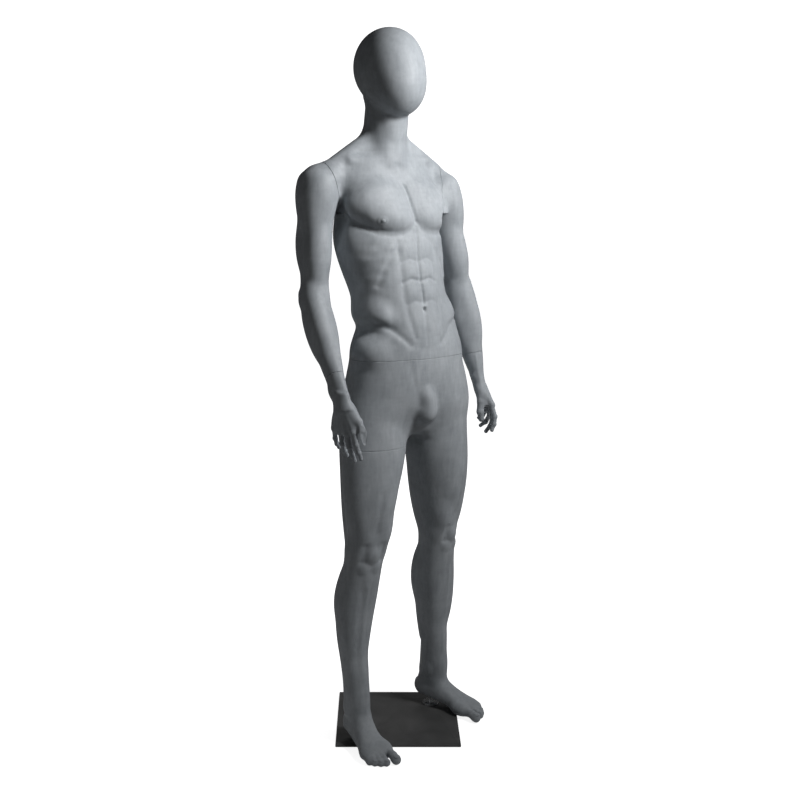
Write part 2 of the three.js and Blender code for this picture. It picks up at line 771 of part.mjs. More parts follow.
function buildTorso() {
  const { right, left } = LIMBS;
  const seats = [JOINTS.rightShoulder, JOINTS.leftShoulder];
  const stubs = [right, left].map((limb, i) =>
    arm(limb).intersect(cylinder(seats[i], ARM_SEAT.radius - 4, -5, 60)),
  );
  const body = join(
    trunk(),
    loft({ axes: UPRIGHT, sections: HEAD_AND_NECK, sides: 16 }),
    chestMuscle(-1),
    chestMuscle(1),
    ...stubs,
  );
  const seatCuts = seats.map((frame) =>
    cylinder(frame, ARM_SEAT.radius, -ARM_SEAT.depth, SEAM / 2, 20),
  );
  const outside = cut(body, ...seatCuts).intersect(above(JOINTS.waist, SEAM / 2));
  const seatWalls = seats.map((frame) =>
    cylinder(frame, ARM_SEAT.radius + WALL, -ARM_SEAT.depth, SEAM / 2 + WALL, 20),
  );
  const stubHollows = [right, left].map((limb, i) =>
    arm(limb, WALL).intersect(cylinder(seats[i], ARM_SEAT.radius, -5, 40)),
  );
  const headHollow = loft({
    axes: UPRIGHT,
    sections: HEAD_AND_NECK.slice(0, -2),
    sides: 16,
    inset: WALL,
  });
  const hollow = join(cut(trunk(WALL), ...seatWalls), headHollow, ...stubHollows);
  addMesh("torso_head_shell", cut(outside, hollow), MATERIALS.body);
  return {
    waist: trunk(WALL + PLAY),
    shoulders: [right, left].map((limb) => arm(limb, WALL + PLAY)),
  };
}

function buildArm(side, shoulder, wrist) {
  const limb = LIMBS[side];
  const between = (shape, gap) =>
    shape.intersect(below(shoulder, -gap)).intersect(above(wrist, gap));
  addMesh(
    `${side}_arm_shell`,
    cut(between(arm(limb), SEAM / 2), between(arm(limb, WALL), 0)),
    MATERIALS.body,
  );
  return arm(limb, WALL + PLAY);
}

function buildHand(side, wrist) {
  const limb = LIMBS[side];
  const forearmEnd = arm(limb).intersect(below(wrist, -SEAM / 2));
  const socket = join(
    cylinder(wrist, WRIST.flange + PLAY, -WRIST.thickness - FITTING.recess - PLAY, 1),
    cylinder(wrist, WRIST.peg + PLAY, -WRIST.length - PLAY, 1),
  );
  addMesh(`${side}_hand`, cut(join(forearmEnd, hand(limb)), socket), MATERIALS.body);
}

buildBase();
const lowerHollows = buildLowerBody();
const rightLegHollow = buildRightLeg();
const torsoHollows = buildTorso();

bayonet({
  frame: JOINTS.waist,
  kind: "waist",
  pegSide: {
    hollow: lowerHollows.waist,
    board: "pelvis_waist_board",
    fitting: "waist_peg_fitting",
    screw: "waist_peg_screw",
  },
  socketSide: {
    hollow: torsoHollows.waist,
    board: "torso_waist_board",
    fitting: "waist_socket_fitting",
    screw: "waist_socket_screw",
  },
});
bayonet({
  frame: JOINTS.thigh,
  kind: "limb",
  pegSide: {
    hollow: rightLegHollow,
    board: "right_leg_board",
    fitting: "thigh_peg_fitting",
    screw: "thigh_peg_screw",
  },
  socketSide: {
    hollow: lowerHollows.thigh,
    board: "pelvis_thigh_board",
    fitting: "thigh_socket_fitting",
    screw: "thigh_socket_screw",
  },
});

["right", "left"].forEach((side, i) => {
  const shoulder = JOINTS[`${side}Shoulder`];
  const wrist = JOINTS[`${side}Wrist`];
  const armHollow = buildArm(side, shoulder, wrist);
  buildHand(side, wrist);
  wristJoint(side, wrist, armHollow);
  bayonet({
    frame: shoulder,
    kind: "limb",
    pegSide: {
      hollow: armHollow,
      board: `${side}_arm_board`,
      fitting: `${side}_shoulder_peg_fitting`,
      screw: `${side}_shoulder_peg_screw`,
    },
    socketSide: {
      hollow: torsoHollows.shoulders[i],
      board: `${side}_shoulder_board`,
      fitting: `${side}_shoulder_socket_fitting`,
      screw: `${side}_shoulder_socket_screw`,
    },
  });
});

export default mannequin;
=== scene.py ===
"""Looks of the full-body display mannequin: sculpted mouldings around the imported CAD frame.

Each moulding is the zero level of a distance-like field, built from rounded anatomical forms, meshed by
OpenVDB and moved onto the field exactly. The mouldings are then cut at the frame's seams and closed with
recessed boards. Fields work in millimetres, the meshes are in metres, and both use the CAD's axes:
the figure faces -Y, its right side is -X and Z is up.
"""

import math

import bmesh
import bpy
import numpy as np
import openvdb
from mathutils import Matrix, Vector


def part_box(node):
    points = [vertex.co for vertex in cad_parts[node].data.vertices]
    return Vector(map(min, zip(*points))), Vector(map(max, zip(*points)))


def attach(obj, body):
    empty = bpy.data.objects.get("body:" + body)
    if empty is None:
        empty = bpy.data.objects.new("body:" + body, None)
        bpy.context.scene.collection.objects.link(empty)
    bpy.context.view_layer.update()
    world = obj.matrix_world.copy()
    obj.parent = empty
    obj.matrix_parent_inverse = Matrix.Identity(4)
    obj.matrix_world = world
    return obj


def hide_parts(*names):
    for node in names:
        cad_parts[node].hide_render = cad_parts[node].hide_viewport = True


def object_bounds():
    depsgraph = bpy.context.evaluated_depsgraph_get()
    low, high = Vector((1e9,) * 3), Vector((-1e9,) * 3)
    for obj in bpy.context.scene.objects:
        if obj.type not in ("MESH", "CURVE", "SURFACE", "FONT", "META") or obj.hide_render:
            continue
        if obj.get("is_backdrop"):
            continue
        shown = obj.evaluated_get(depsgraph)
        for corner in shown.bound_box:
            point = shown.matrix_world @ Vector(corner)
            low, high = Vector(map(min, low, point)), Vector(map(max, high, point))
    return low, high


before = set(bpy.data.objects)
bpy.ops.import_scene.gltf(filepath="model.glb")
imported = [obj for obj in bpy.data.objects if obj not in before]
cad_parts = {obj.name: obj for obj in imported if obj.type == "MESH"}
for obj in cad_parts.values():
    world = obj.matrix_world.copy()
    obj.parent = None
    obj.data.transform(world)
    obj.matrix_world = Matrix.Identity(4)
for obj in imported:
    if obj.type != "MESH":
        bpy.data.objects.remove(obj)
CAD_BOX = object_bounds()

MM = 0.001
F = np.float32

# ------------------------------------------------------------------ landmarks, as in the CAD part

WAIST = {"at": (13, -13, 1048), "out": (0, 0, 1)}
THIGH_Z = 818
SEAM_GAP = 0.2  # from a seam's middle to a moulding's rim
CHAMFER = 0.9  # of the rims
WALL = 4.0
SHOULDER_WALL = 16.0  # round the shoulder boards, clear of the armpits
BOARD = {"thickness": 12.0, "recess": 3.85, "play": 0.4}
# radius of the hole in a board; a board that carries a bayonet's peg has none
WAIST_HOLE, LIMB_HOLE, WRIST_HOLE = 22.5, 17.5, 4.5

# along the hand, out of its back, to its thumb side, and radius
OPEN_THUMB = [(6, -5, 20, 15), (44, -10, 45, 12), (78, -13, 60, 10.6), (108, -16, 66, 8.4)]
OPPOSED_THUMB = [(10, -8, 18, 15), (46, -26, 32, 11.5), (74, -42, 35, 11.5), (98, -50, 33, 9.0)]

RIGHT = {
    "side": -1,
    "shoulder": (-208, 56, 1492),
    "elbow": (-235, 34, 1205),
    "wrist": (-235, -118, 955),
    "seam": {"at": (-182, 56, 1497), "out": (-0.946, 0, -0.323)},
    "wrist_share": 0.74,
    "hand": {
        "along": (0.02, -0.04, -1),
        "thumb": (0.4, -0.9, 0),
        "past_wrist": 8,
        "size": 0.88,
        "curl": 0.36,
        "thumb_points": OPEN_THUMB,
    },
    "hip": (-84, -22, 930),
    "knee": (-142, -74, 535),
    "ankle": (-158, -58, 105),
    "bow": (-14, 14),
    "turn": 2,
    "heel_up": 22,
}
LEFT = {
    "side": 1,
    "shoulder": (160, 56, 1478),
    "elbow": (222, 44, 1196),
    "wrist": (246, -28, 950),
    "seam": {"at": (134, 56, 1483), "out": (0.946, 0, -0.323)},
    "wrist_share": 0.66,
    "hand": {
        "along": (0.40, -0.2, -0.9),
        "thumb": (-0.35, -0.94, 0),
        "past_wrist": 0,
        "size": 0.86,
        "curl": 0.82,
        "thumb_points": OPPOSED_THUMB,
    },
    "hip": (108, -16, 930),
    "knee": (128, -6, 535),
    "ankle": (139, 36, 110),
    "bow": (3, 0),
    "turn": 24,
    "heel_up": 32,
}

# ------------------------------------------------------------------ field tools


def unit(v):
    v = np.asarray(v, float)
    return v / np.linalg.norm(v)


def axes_along(along, toward):
    """Three unit vectors: along, the one nearest to `toward`, and the one across both."""
    u = unit(along)
    v = np.asarray(toward, float)
    v = unit(v - (v @ u) * u)
    return np.array([u, v, np.cross(u, v)])


def local(p, origin, axes):
    """The points' places along the given axes from the origin."""
    q = [c - F(o) for c, o in zip(p, origin)]
    return tuple(sum(c * F(e) for c, e in zip(q, axis)) for axis in axes)


def join(a, b, k):
    """Union of two fields, blended over a width k."""
    h = np.maximum(k - np.abs(a - b), 0) / F(k)
    return np.minimum(a, b) - h * h * F(k * 0.25)


def keep(a, b, k=1.0):
    """Common part of two fields, blended over a width k."""
    return -join(-a, -b, k)


def egg(p, centre, reach, axes=None):
    """Ellipsoid with half sizes `reach` along the axes."""
    q = local(p, centre, np.eye(3) if axes is None else axes)
    k0 = sum((c / F(r)) ** 2 for c, r in zip(q, reach)) + F(1e-6)
    k1 = sum((c / F(r * r)) ** 2 for c, r in zip(q, reach)) + F(1e-9)
    k0 = np.sqrt(k0)
    return k0 * (k0 - 1) / np.sqrt(k1)


def rod(p, a, b, ra, rb):
    """Rod with round ends and a radius that runs from ra at a to rb at b."""
    a = np.asarray(a, float)
    ab = np.asarray(b, float) - a
    q = [c - F(o) for c, o in zip(p, a)]
    t = sum(c * F(e) for c, e in zip(q, ab)) / F(ab @ ab)
    t = np.clip(t, 0, 1)
    q = [c - t * F(e) for c, e in zip(q, ab)]
    return np.sqrt(sum(c * c for c in q) + F(1e-6)) - (F(ra) + t * F(rb - ra))


def muscle(p, a, b, wide, deep, out):
    """Ellipsoid from a to b, `wide` across and `deep` along out."""
    a, b = np.asarray(a, float), np.asarray(b, float)
    reach = (np.linalg.norm(b - a) * 0.56, deep, wide)
    return egg(p, (a + b) / 2, reach, axes_along(b - a, out))


def chain(p, points, k):
    """Rods through (x, y, z, radius) points."""
    made = None
    for a, b in zip(points, points[1:]):
        part = rod(p, a[:3], b[:3], a[3], b[3])
        made = part if made is None else join(made, part, k)
    return made


def smooth_table(rows, steps=300):
    """A smooth curve through rows, whose first column rises or falls; column 0 comes back evenly spaced."""
    rows = np.array(sorted(rows), float)
    knots = rows[:, 0]
    fine = np.linspace(knots[0], knots[-1], steps)
    step = np.clip(np.searchsorted(knots, fine, side="right") - 1, 0, len(knots) - 2)
    gap = np.diff(knots)
    t = (fine - knots[step]) / gap[step]
    table = [fine]
    for column in rows[:, 1:].T:
        slope = np.diff(column) / gap
        inner = (slope[:-1] * gap[1:] + slope[1:] * gap[:-1]) / (gap[1:] + gap[:-1])
        m = np.concatenate([slope[:1], inner, slope[-1:]])
        h = gap[step]
        table.append(
            (2 * t**3 - 3 * t**2 + 1) * column[step]
            + (t**3 - 2 * t**2 + t) * h * m[step]
            + (3 * t**2 - 2 * t**3) * column[step + 1]
            + (t**3 - t**2) * h * m[step + 1]
        )
    return np.array(table)


def look_up(table, column, u):
    return np.interp(u, table[0], table[column]).astype(F)


def loft(q, table, power=2.15, cap=10):
    """Sections across q[0]; the table's columns are u, then the reach to +v, -v, +w and -w."""
    u, v, w = q
    inside = np.clip(u, F(table[0][0]), F(table[0][-1]))
    a = np.where(v > 0, look_up(table, 1, inside), look_up(table, 2, inside))
    b = np.where(w > 0, look_up(table, 3, inside), look_up(table, 4, inside))
    rho = ((np.abs(v) / a) ** F(power) + (np.abs(w) / b) ** F(power)) ** F(1 / power)
    rho = np.maximum(rho, F(1e-3))
    d = np.sqrt(v * v + w * w)
    f = np.where(rho > 0.05, d * (1 - 1 / rho), -np.minimum(a, b))
    over = np.maximum(u - F(table[0][-1]), F(table[0][0]) - u)
    return keep(f, over, cap)


def line_distance(x, z, points):
    """Distance in the xz plane to a polyline."""
    best = None
    for (x0, z0), (x1, z1) in zip(points, points[1:]):
        dx, dz = x1 - x0, z1 - z0
        t = ((x - F(x0)) * F(dx) + (z - F(z0)) * F(dz)) / F(dx * dx + dz * dz)
        t = np.clip(t, 0, 1)
        d = np.hypot(x - F(x0) - t * F(dx), z - F(z0) - t * F(dz))
        best = d if best is None else np.minimum(best, d)
    return best


def fold(x, z, points, depth, width):
    """Height of a soft groove along a polyline; a negative depth makes a ridge."""
    d = line_distance(x, z, points) / F(width)
    return F(depth) * np.exp(-d * d)


def spot(x, z, centre, size, depth):
    """Height of a soft round pit, or of a bump where depth is negative."""
    d2 = ((x - F(centre[0])) / F(size[0])) ** 2 + ((z - F(centre[1])) / F(size[1])) ** 2
    return F(depth) * np.exp(-d2)


def fade(value, low, high):
    """0 below low, 1 above high, smooth between; low may be above high."""
    t = np.clip((value - F(low)) / F(high - low), 0, 1)
    return t * t * (3 - 2 * t)


# ------------------------------------------------------------------ trunk

# height, middle x, middle y, turn of the front towards the figure's left in degrees
SPINE = smooth_table([
    (800, 17, -24, 2),
    (950, 16, -22, 3),
    (1045, 13, -14, 5),
    (1120, 8, -4, 8),
    (1200, 2, 10, 9),
    (1300, -9, 26, 9),
    (1400, -16, 38, 9),
    (1480, -19, 46, 8),
    (1540, -18, 48, 5),
    (1600, -17, 44, 3),
    (1700, -14, 32, 0),
    (1900, -12, 22, 0),
])
# height, half width twice, reach to the back and to the front
TRUNK = smooth_table([
    (840, 150, 150, 78, 58),
    (880, 172, 172, 96, 78),
    (920, 181, 181, 108, 92),
    (960, 181, 181, 110, 98),
    (1000, 174, 174, 104, 101),
    (1045, 163, 163, 95, 103),
    (1090, 151, 151, 86, 104),
    (1130, 142, 142, 81, 105),
    (1170, 137, 137, 81, 106),
    (1220, 137, 137, 86, 108),
    (1270, 141, 141, 92, 108),
    (1320, 146, 146, 98, 105),
    (1370, 146, 146, 104, 100),
    (1410, 136, 136, 104, 95),
    (1450, 138, 138, 100, 87),
    (1490, 146, 146, 88, 76),
    (1525, 138, 138, 73, 66),
    (1555, 104, 104, 60, 56),
    (1580, 72, 72, 52, 50),
])
# outline in (half width, height), depth, width
FRONT_FOLDS = [
    ([(0, 1490), (0, 1400)], 3.4, 5.0),
    ([(0, 1385), (0, 1192)], 3.4, 4.5),
    ([(0, 1165), (0, 1090)], 1.2, 6.0),
    ([(3, 1300), (30, 1307), (50, 1298)], 1.8, 5.0),
    ([(3, 1249), (30, 1256), (54, 1246)], 3.0, 5.0),
    ([(3, 1194), (28, 1199), (48, 1190)], 1.8, 6.0),
    ([(62, 1352), (56, 1310), (55, 1260), (57, 1210), (50, 1155), (36, 1105)], 2.6, 9.0),
    ([(6, 1372), (40, 1358), (72, 1322), (96, 1282), (112, 1240)], 2.6, 8.0),
    ([(150, 1148), (118, 1140), (92, 1126), (70, 1104), (52, 1086)], 3.4, 9.0),
    ([(58, 1040), (46, 1000), (32, 955), (26, 930)], 1.2, 10.0),
    ([(44, 1092), (20, 1076), (0, 1072)], 1.0, 10.0),
]
CHEST_BORDER = [(2, 1398), (14, 1380), (40, 1368), (76, 1364), (108, 1370), (132, 1386), (150, 1412)]
RIBS = [(78, 1334), (92, 1308), (104, 1282), (112, 1256)]
SERRATUS = [(112, 1352), (122, 1328), (128, 1304)]
# centre in (half width, height), size, depth; a negative depth is a bump
ABDOMEN = [
    ((29, 1274), (24, 20), -2.6),
    ((28, 1220), (25, 20), -2.6),
    ((28, 1330), (24, 16), -1.8),
    ((27, 1150), (26, 34), -2.0),
]
NAVEL = [((0, 1175), (5.0, 6.5), 7.0), ((0, 1184), (7.5, 4.0), -2.0)]
THROAT_PIT = ((0, 1543), (13, 12), 5.0)
# long muscles beside the spine, dimples over the seat, shoulder blades
BACK_SPOTS = [((44, 1180), (22, 90), -4.0), ((46, 1040), (12, 12), 2.5), ((92, 1430), (30, 50), -5.0)]
BACK_FOLDS = [
    ([(0, 1500), (0, 1330), (0, 1090)], 6.5, 13.0),
    ([(0, 1010), (0, 840)], 10.0, 9.0),
    ([(52, 1440), (66, 1400), (78, 1350)], 3.0, 12.0),
    ([(16, 862), (60, 842), (110, 846), (140, 862)], 5.0, 10.0),
]


def torso_space(p):
    x, y, z = p
    dx = x - look_up(SPINE, 1, z)
    dy = y - look_up(SPINE, 2, z)
    turn = look_up(SPINE, 3, z) * F(math.pi / 180)
    c, s = np.cos(turn), np.sin(turn)
    return dx * c + dy * s, -dx * s + dy * c, z


def trunk_relief(a, y, z):
    """Muscle borders, ribs, navel and nipples, as a height over the trunk's plain surface."""
    front = fade(y, -8, -45)
    relief = sum(fold(a, z, *row) for row in FRONT_FOLDS)
    relief = relief + fold(a, z, CHEST_BORDER, 3.0, 6.5)
    relief = relief + sum(spot(a, z, at, (20, 11), -1.6) for at in RIBS)
    relief = relief + sum(spot(a, z, at, (18, 11), -1.8) for at in SERRATUS)
    for row in ABDOMEN + NAVEL + [THROAT_PIT]:
        relief = relief + spot(a, z, *row)
    areola = np.hypot(a - F(108), z - F(1404))
    relief = relief - F(1.0) * fade(areola, 13, 10) - F(2.6) * fade(areola, 5.5, 2.5)
    back = fade(y, 8, 45)
    behind = sum(fold(a, z, *row) for row in BACK_FOLDS)
    for row in BACK_SPOTS:
        behind = behind + spot(a, z, *row)
    return relief * front + behind * back


# height, and how far the breastbone stands towards the figure's left of the trunk's middle
BREASTBONE = smooth_table([(1150, 0), (1260, 2), (1330, 10), (1390, 22), (1450, 16), (1520, 4), (1560, 0)])


def trunk(p):
    x, y, z = torso_space(p)
    x = x - look_up(BREASTBONE, 1, z) * fade(y, 0, -70)
    a = np.abs(x)
    q = (a, y, z)
    f = loft((z, a, y), TRUNK, power=2.3, cap=20)
    f = join(f, rod(q, (34, 12, 1608), (154, 8, 1530), 28, 30), 30)
    f = join(f, muscle(q, (70, 50, 1215), (128, 38, 1400), 40, 26, (0.6, 1, 0)), 30)
    pec = egg(q, (66, -64, 1414), (72, 44, 48), axes_along((1, 0.2, 0.18), (0, -1, 0)))
    pec = join(pec, egg(q, (58, -52, 1462), (72, 38, 50)), 26)
    pec = join(pec, egg(q, (110, -40, 1440), (46, 36, 44)), 22)
    f = join(f, pec, 5 + 12 * fade(z, 1400, 1470))
    f = join(f, egg(q, (106, -18, 1158), (38, 66, 52)), 24)
    f = join(f, egg(q, (78, 52, 930), (86, 70, 84)), 26)
    f = join(f, egg((x, y, z), (-116, -18, 1066), (53, 58, 46)), 24)
    f = join(f, egg((x, y, z), (100, -36, 1066), (46, 44, 46)), 30)
    f = join(f, rod(q, (18, -42, 1546), (118, -22, 1556), 7, 7), 22)
    f = join(f, crotch(q), 14)
    pinched = spot(y, z, (-16, 1130), (90, 20), 10.0) * fade(x, -50, -100)
    filled = spot(y, z, (-20, 1112), (70, 34), -9.0) * fade(x, 50, 100)
    return f + trunk_relief(a, y, z) + pinched + filled


def crotch(q):
    made = egg(q, (0, -86, 936), (25, 26, 42))
    return join(made, egg(q, (0, -62, 902), (34, 44, 32)), 24)


# ------------------------------------------------------------------ head and neck


def head(p):
    neck = rod(p, (-17, 58, 1540), (-14, 42, 1700), 58, 54)
    neck = join(neck, rod(p, (-18, 34, 1548), (-14, 18, 1665), 30, 40), 26)
    for side in (-1, 1):
        behind_ear = (-14 + side * 50, 44, 1716)
        neck = join(neck, rod(p, behind_ear, (-17 + side * 11, 0, 1550), 12, 7), 20)
    skull = egg(p, (-14, 38, 1794), (83, 101, 98))
    skull = join(skull, egg(p, (-12, 0, 1772), (71, 78, 100)), 36)
    jaw = egg(p, (-12, -28, 1733), (53, 54, 56))
    skull = join(skull, jaw, 44)
    return join(neck, skull, 12)


# ------------------------------------------------------------------ arms and hands

# distance down the limb, reach outward, inward, forward, backward
UPPER_ARM = smooth_table([
    (-20, 44, 48, 50, 52),
    (30, 48, 44, 50, 52),
    (90, 44, 42, 46, 49),
    (140, 41, 40, 44, 46),
    (190, 40, 39, 42, 44),
    (240, 35, 37, 38, 39),
    (288, 33, 36, 36, 37),
    (306, 34, 32, 34, 34),
])
FOREARM = smooth_table([
    (-20, 30, 33, 34, 33),
    (10, 30, 36, 37, 36),
    (50, 33, 37, 37, 39),
    (90, 35, 36, 36, 39),
    (140, 32, 32, 33, 36),
    (190, 25, 26, 29, 31),
    (230, 18, 19, 26, 27),
    (262, 15, 16, 25, 26),
    (320, 15, 16, 25, 26),
])
FOREARM_TWIST = math.radians(22)


def limb_axes(a, b, side):
    """Down the limb, outward and forward."""
    axes = axes_along(np.subtract(b, a), (side, 0, 0))
    if axes[2][1] > 0:
        axes[2] = -axes[2]
    return axes


def upper_arm(p, limb):
    q = local(p, limb["shoulder"], limb_axes(limb["shoulder"], limb["elbow"], limb["side"]))
    f = loft(q, UPPER_ARM, power=2.05, cap=20)
    f = join(f, egg(q, (20, 4, 2), (74, 50, 57)), 24)
    f = join(f, egg(q, (62, 16, 6), (66, 34, 40)), 16)
    f = join(f, egg(q, (172, 2, 22), (80, 32, 28)), 12)
    f = join(f, egg(q, (140, 12, -24), (86, 32, 28)), 12)
    f = join(f, egg(q, (176, -16, -22), (72, 26, 26)), 12)
    groove = fold(q[2], q[0], [(0, 120), (0, 250)], 2.4, 9) * fade(q[1], 5, 30)
    inner = fold(q[2], q[0], [(2, 100), (2, 240)], 2.6, 9) * fade(q[1], -5, -28)
    return f + groove + inner


def forearm(p, limb):
    axes = limb_axes(limb["elbow"], limb["wrist"], limb["side"])
    down, out, forward = local(p, limb["elbow"], axes)
    turn = F(FOREARM_TWIST) * fade(down, 90, 250)
    c, s = np.cos(turn), np.sin(turn)
    q = (down, out * c + forward * s, forward * c - out * s)
    f = loft(q, FOREARM, power=2.05, cap=6)
    f = join(f, egg(q, (60, 10, 16), (84, 26, 28)), 18)
    f = join(f, egg(q, (76, -12, -6), (92, 28, 30)), 14)
    f = join(f, egg(q, (78, 12, -16), (90, 26, 26)), 14)
    f = join(f, rod(q, (-6, 6, -32), (10, 6, -36), 13, 10), 10)
    f = join(f, egg(q, (256, 5, -15), (18, 10, 10)), 12)
    tendons = fold(q[1], q[0], [(-4, 180), (-3, 262)], -1.2, 4) * fade(q[2], 5, 20)
    return f + tendons


def arm(p, limb):
    return join(upper_arm(p, limb), forearm(p, limb), 22)


# distance along the hand, reach to its back, palm, thumb side and little finger side
PALM = smooth_table([
    (-40, 12, 13, 18, 19),
    (0, 16, 17, 27, 27),
    (20, 16, 18, 35, 33),
    (44, 14, 16, 42, 41),
    (66, 12, 14, 45, 43),
    (84, 7, 9, 41, 39),
])
# across the hand, root, length, radius, spread, bend
FINGERS = [
    (35, 72, 84, 8.8, 0.10, 0.30),
    (12, 77, 92, 9.0, 0.02, 0.42),
    (-12, 73, 86, 8.6, -0.06, 0.52),
    (-34, 66, 70, 7.8, -0.13, 0.55),
]
# share of the finger's length, bend, radius at its end
FINGER_JOINTS = [(0.46, 0.56, 0.90), (0.30, 1.6, 0.82), (0.24, 1.12, 0.66)]


def hand_axes(limb):
    """Along the hand, out of its back and to its thumb side."""
    u, thumb, back = axes_along(limb["hand"]["along"], limb["hand"]["thumb"])
    if back[0] * limb["side"] < 0:
        back = -back
    return np.array([u, back, thumb])


def finger_points(across, root, length, radius, spread, bend, curl):
    at = np.array([root, -1.0, across])
    points = [(*at, radius)]
    angle = 0.12 * bend
    for share, turn, size in FINGER_JOINTS:
        angle += bend * turn * curl
        way = (math.cos(angle) * math.cos(spread), -math.sin(angle), math.cos(angle) * math.sin(spread))
        at = at + length * share * np.array(way)
        points.append((*at, radius * size))
    return points


def nail(q, points, thumb=False):
    """A shallow nail plate on a finger's last length."""
    tip, before = np.array(points[-1][:3]), np.array(points[-2][:3])
    along = unit(tip - before)
    out = (0.35, 0.94, -0.2) if thumb else (0, 1, 0)
    axes = axes_along(along, out)
    size = points[-1][3]
    centre = tip + axes[1] * size * 0.72 - along * 1.0
    return egg(q, centre, (size * 1.05, size * 0.42, size * 0.78), axes)


def hand_root(limb):
    """Where the hand's own measures start, past the end of the forearm."""
    along = unit(np.subtract(limb["wrist"], limb["elbow"]))
    return np.add(limb["wrist"], along * limb["hand"]["past_wrist"])


def hand(p, limb):
    size = F(limb["hand"]["size"])
    q = tuple(c / size for c in local(p, hand_root(limb), hand_axes(limb)))
    f = loft(q, PALM, power=2.3, cap=8)
    f = join(f, egg(q, (32, -10, 20), (36, 15, 20)), 12)
    f = join(f, egg(q, (38, -10, -22), (38, 13, 16)), 12)
    f = f - spot(q[2], q[0], (2, 52), (18, 24), -5.0) * fade(q[1], 0, -10)
    for row in FINGERS:
        across, root, radius = row[0], row[1], row[3]
        tendon = rod(q, (14, 8, across * 0.4), (root, 2.0, across), 7, radius * 0.92)
        f = join(f, tendon, 7)
        f = join(f, egg(q, (root + 1, 3.0, across), (11, radius, radius * 0.95)), 4)
        points = finger_points(*row, limb["hand"]["curl"])
        finger = chain(q, points, 3)
        for joint in points[1:3]:
            finger = join(finger, egg(q, joint[:3], (joint[3] * 1.05,) * 3), 3)
        finger = join(finger, nail(q, points), 0.8)
        f = join(f, finger, 2.5)
    points = limb["hand"]["thumb_points"]
    thumb = join(chain(q, points, 5), nail(q, points, thumb=True), 0.8)
    return join(f, thumb, 10) * size


# ------------------------------------------------------------------ legs and feet

# height for a knee at 530 and an ankle at 90, reach outward, inward, forward, backward
LEG = smooth_table([
    (1000, 66, 60, 50, 58),
    (930, 88, 84, 80, 82),
    (870, 90, 88, 82, 88),
    (818, 88, 87, 80, 87),
    (760, 83, 82, 77, 82),
    (700, 75, 75, 72, 76),
    (640, 66, 67, 64, 68),
    (590, 58, 60, 56, 60),
    (540, 53, 55, 52, 55),
    (500, 51, 52, 46, 56),
    (450, 52, 52, 42, 66),
    (400, 54, 53, 39, 72),
    (345, 51, 49, 36, 68),
    (290, 45, 43, 34, 57),
    (240, 39, 37, 32, 47),
    (195, 36, 35, 37, 43),
    (155, 34, 34, 40, 41),
    (120, 34, 34, 45, 40),
    (60, 32, 33, 46, 38),
])
PROFILE_HIP, PROFILE_KNEE, PROFILE_ANKLE = 930, 530, 90


def leg_middle(limb):
    """Height, x and y of the leg's middle line."""
    hip, knee, ankle = (np.array(limb[n], float) for n in ("hip", "knee", "ankle"))
    bow = np.array(limb["bow"], float)
    rows = []
    for t in (-0.25, 0, 0.5, 0.85):
        rows.append((hip[2] + (knee[2] - hip[2]) * t, *(hip + (knee - hip) * t)[:2]))
    for t in (0.12, 0.35, 0.6, 0.85, 1.15):
        off = bow * 4 * t * (1 - min(t, 1))
        rows.append((knee[2] + (ankle[2] - knee[2]) * t, *((knee + (ankle - knee) * t)[:2] + off)))
    return smooth_table(rows)


LEG_MIDDLES = {limb["side"]: leg_middle(limb) for limb in (RIGHT, LEFT)}


def leg_space(p, limb):
    """Profile height, outward and forward distance from the leg's middle line."""
    x, y, z = p
    middle = LEG_MIDDLES[limb["side"]]
    dx, dy = x - look_up(middle, 1, z), y - look_up(middle, 2, z)
    turn, side = math.radians(limb["turn"]), limb["side"]
    c, s = F(math.cos(turn)), F(math.sin(turn))
    out = dx * c * F(side) + dy * s
    forward = dx * s * F(side) - dy * c
    ankle, knee, hip = (limb[name][2] for name in ("ankle", "knee", "hip"))
    heights = [ankle - 100, ankle, knee, hip, hip + 150]
    profile = [PROFILE_ANKLE - 100, PROFILE_ANKLE, PROFILE_KNEE, PROFILE_HIP, PROFILE_HIP + 150]
    return np.interp(z, heights, profile).astype(F), out, forward


THIGH_MUSCLES = [  # centre in (height, outward, forward), half sizes, blend
    ((735, 26, 22), (150, 52, 48), 24),
    ((760, -6, 34), (150, 44, 44), 24),
    ((604, -26, 26), (62, 28, 30), 13),
    ((630, 28, 24), (78, 26, 30), 16),
    ((700, -20, -36), (150, 36, 36), 20),
    ((700, 24, -34), (150, 34, 36), 20),
    ((800, -34, -2), (110, 46, 56), 26),
]
KNEE_AND_SHIN = [
    ((537, 0, 36), (29, 22, 20), 7),
    ((500, -16, 30), (18, 14, 14), 10),
    ((500, 16, 30), (18, 14, 14), 10),
    ((464, 2, 30), (26, 13, 13), 9),
    ((545, -26, 2), (40, 26, 34), 14),
    ((545, 25, 2), (40, 25, 34), 14),
    ((398, -20, -34), (92, 31, 36), 13),
    ((412, 20, -30), (86, 30, 34), 13),
    ((300, -2, -26), (110, 32, 30), 18),
    ((350, 18, 14), (110, 26, 24), 16),
]
# polyline in (height, side to side), depth, width, facing: 1 front, -1 back, 0 outside, 2 inside
LEG_FOLDS = [
    ([(700, 4), (600, 2)], 1.6, 10.0, 1),
    ([(560, -24), (520, -27)], 3.2, 9.0, 1),
    ([(560, 24), (520, 27)], 3.2, 9.0, 1),
    ([(440, -2), (170, -8)], -1.4, 8.0, 1),
    ([(430, 12), (200, 8)], 1.0, 9.0, 1),
    ([(440, 0), (350, 1)], 3.5, 8.0, -1),
    ([(600, 0), (500, 0)], 3.5, 14.0, -1),
    ([(180, -17), (110, -19)], 3.6, 9.0, -1),
    ([(180, 17), (110, 19)], 3.6, 9.0, -1),
    ([(860, -14), (560, -16)], 3.4, 12.0, 0),
]


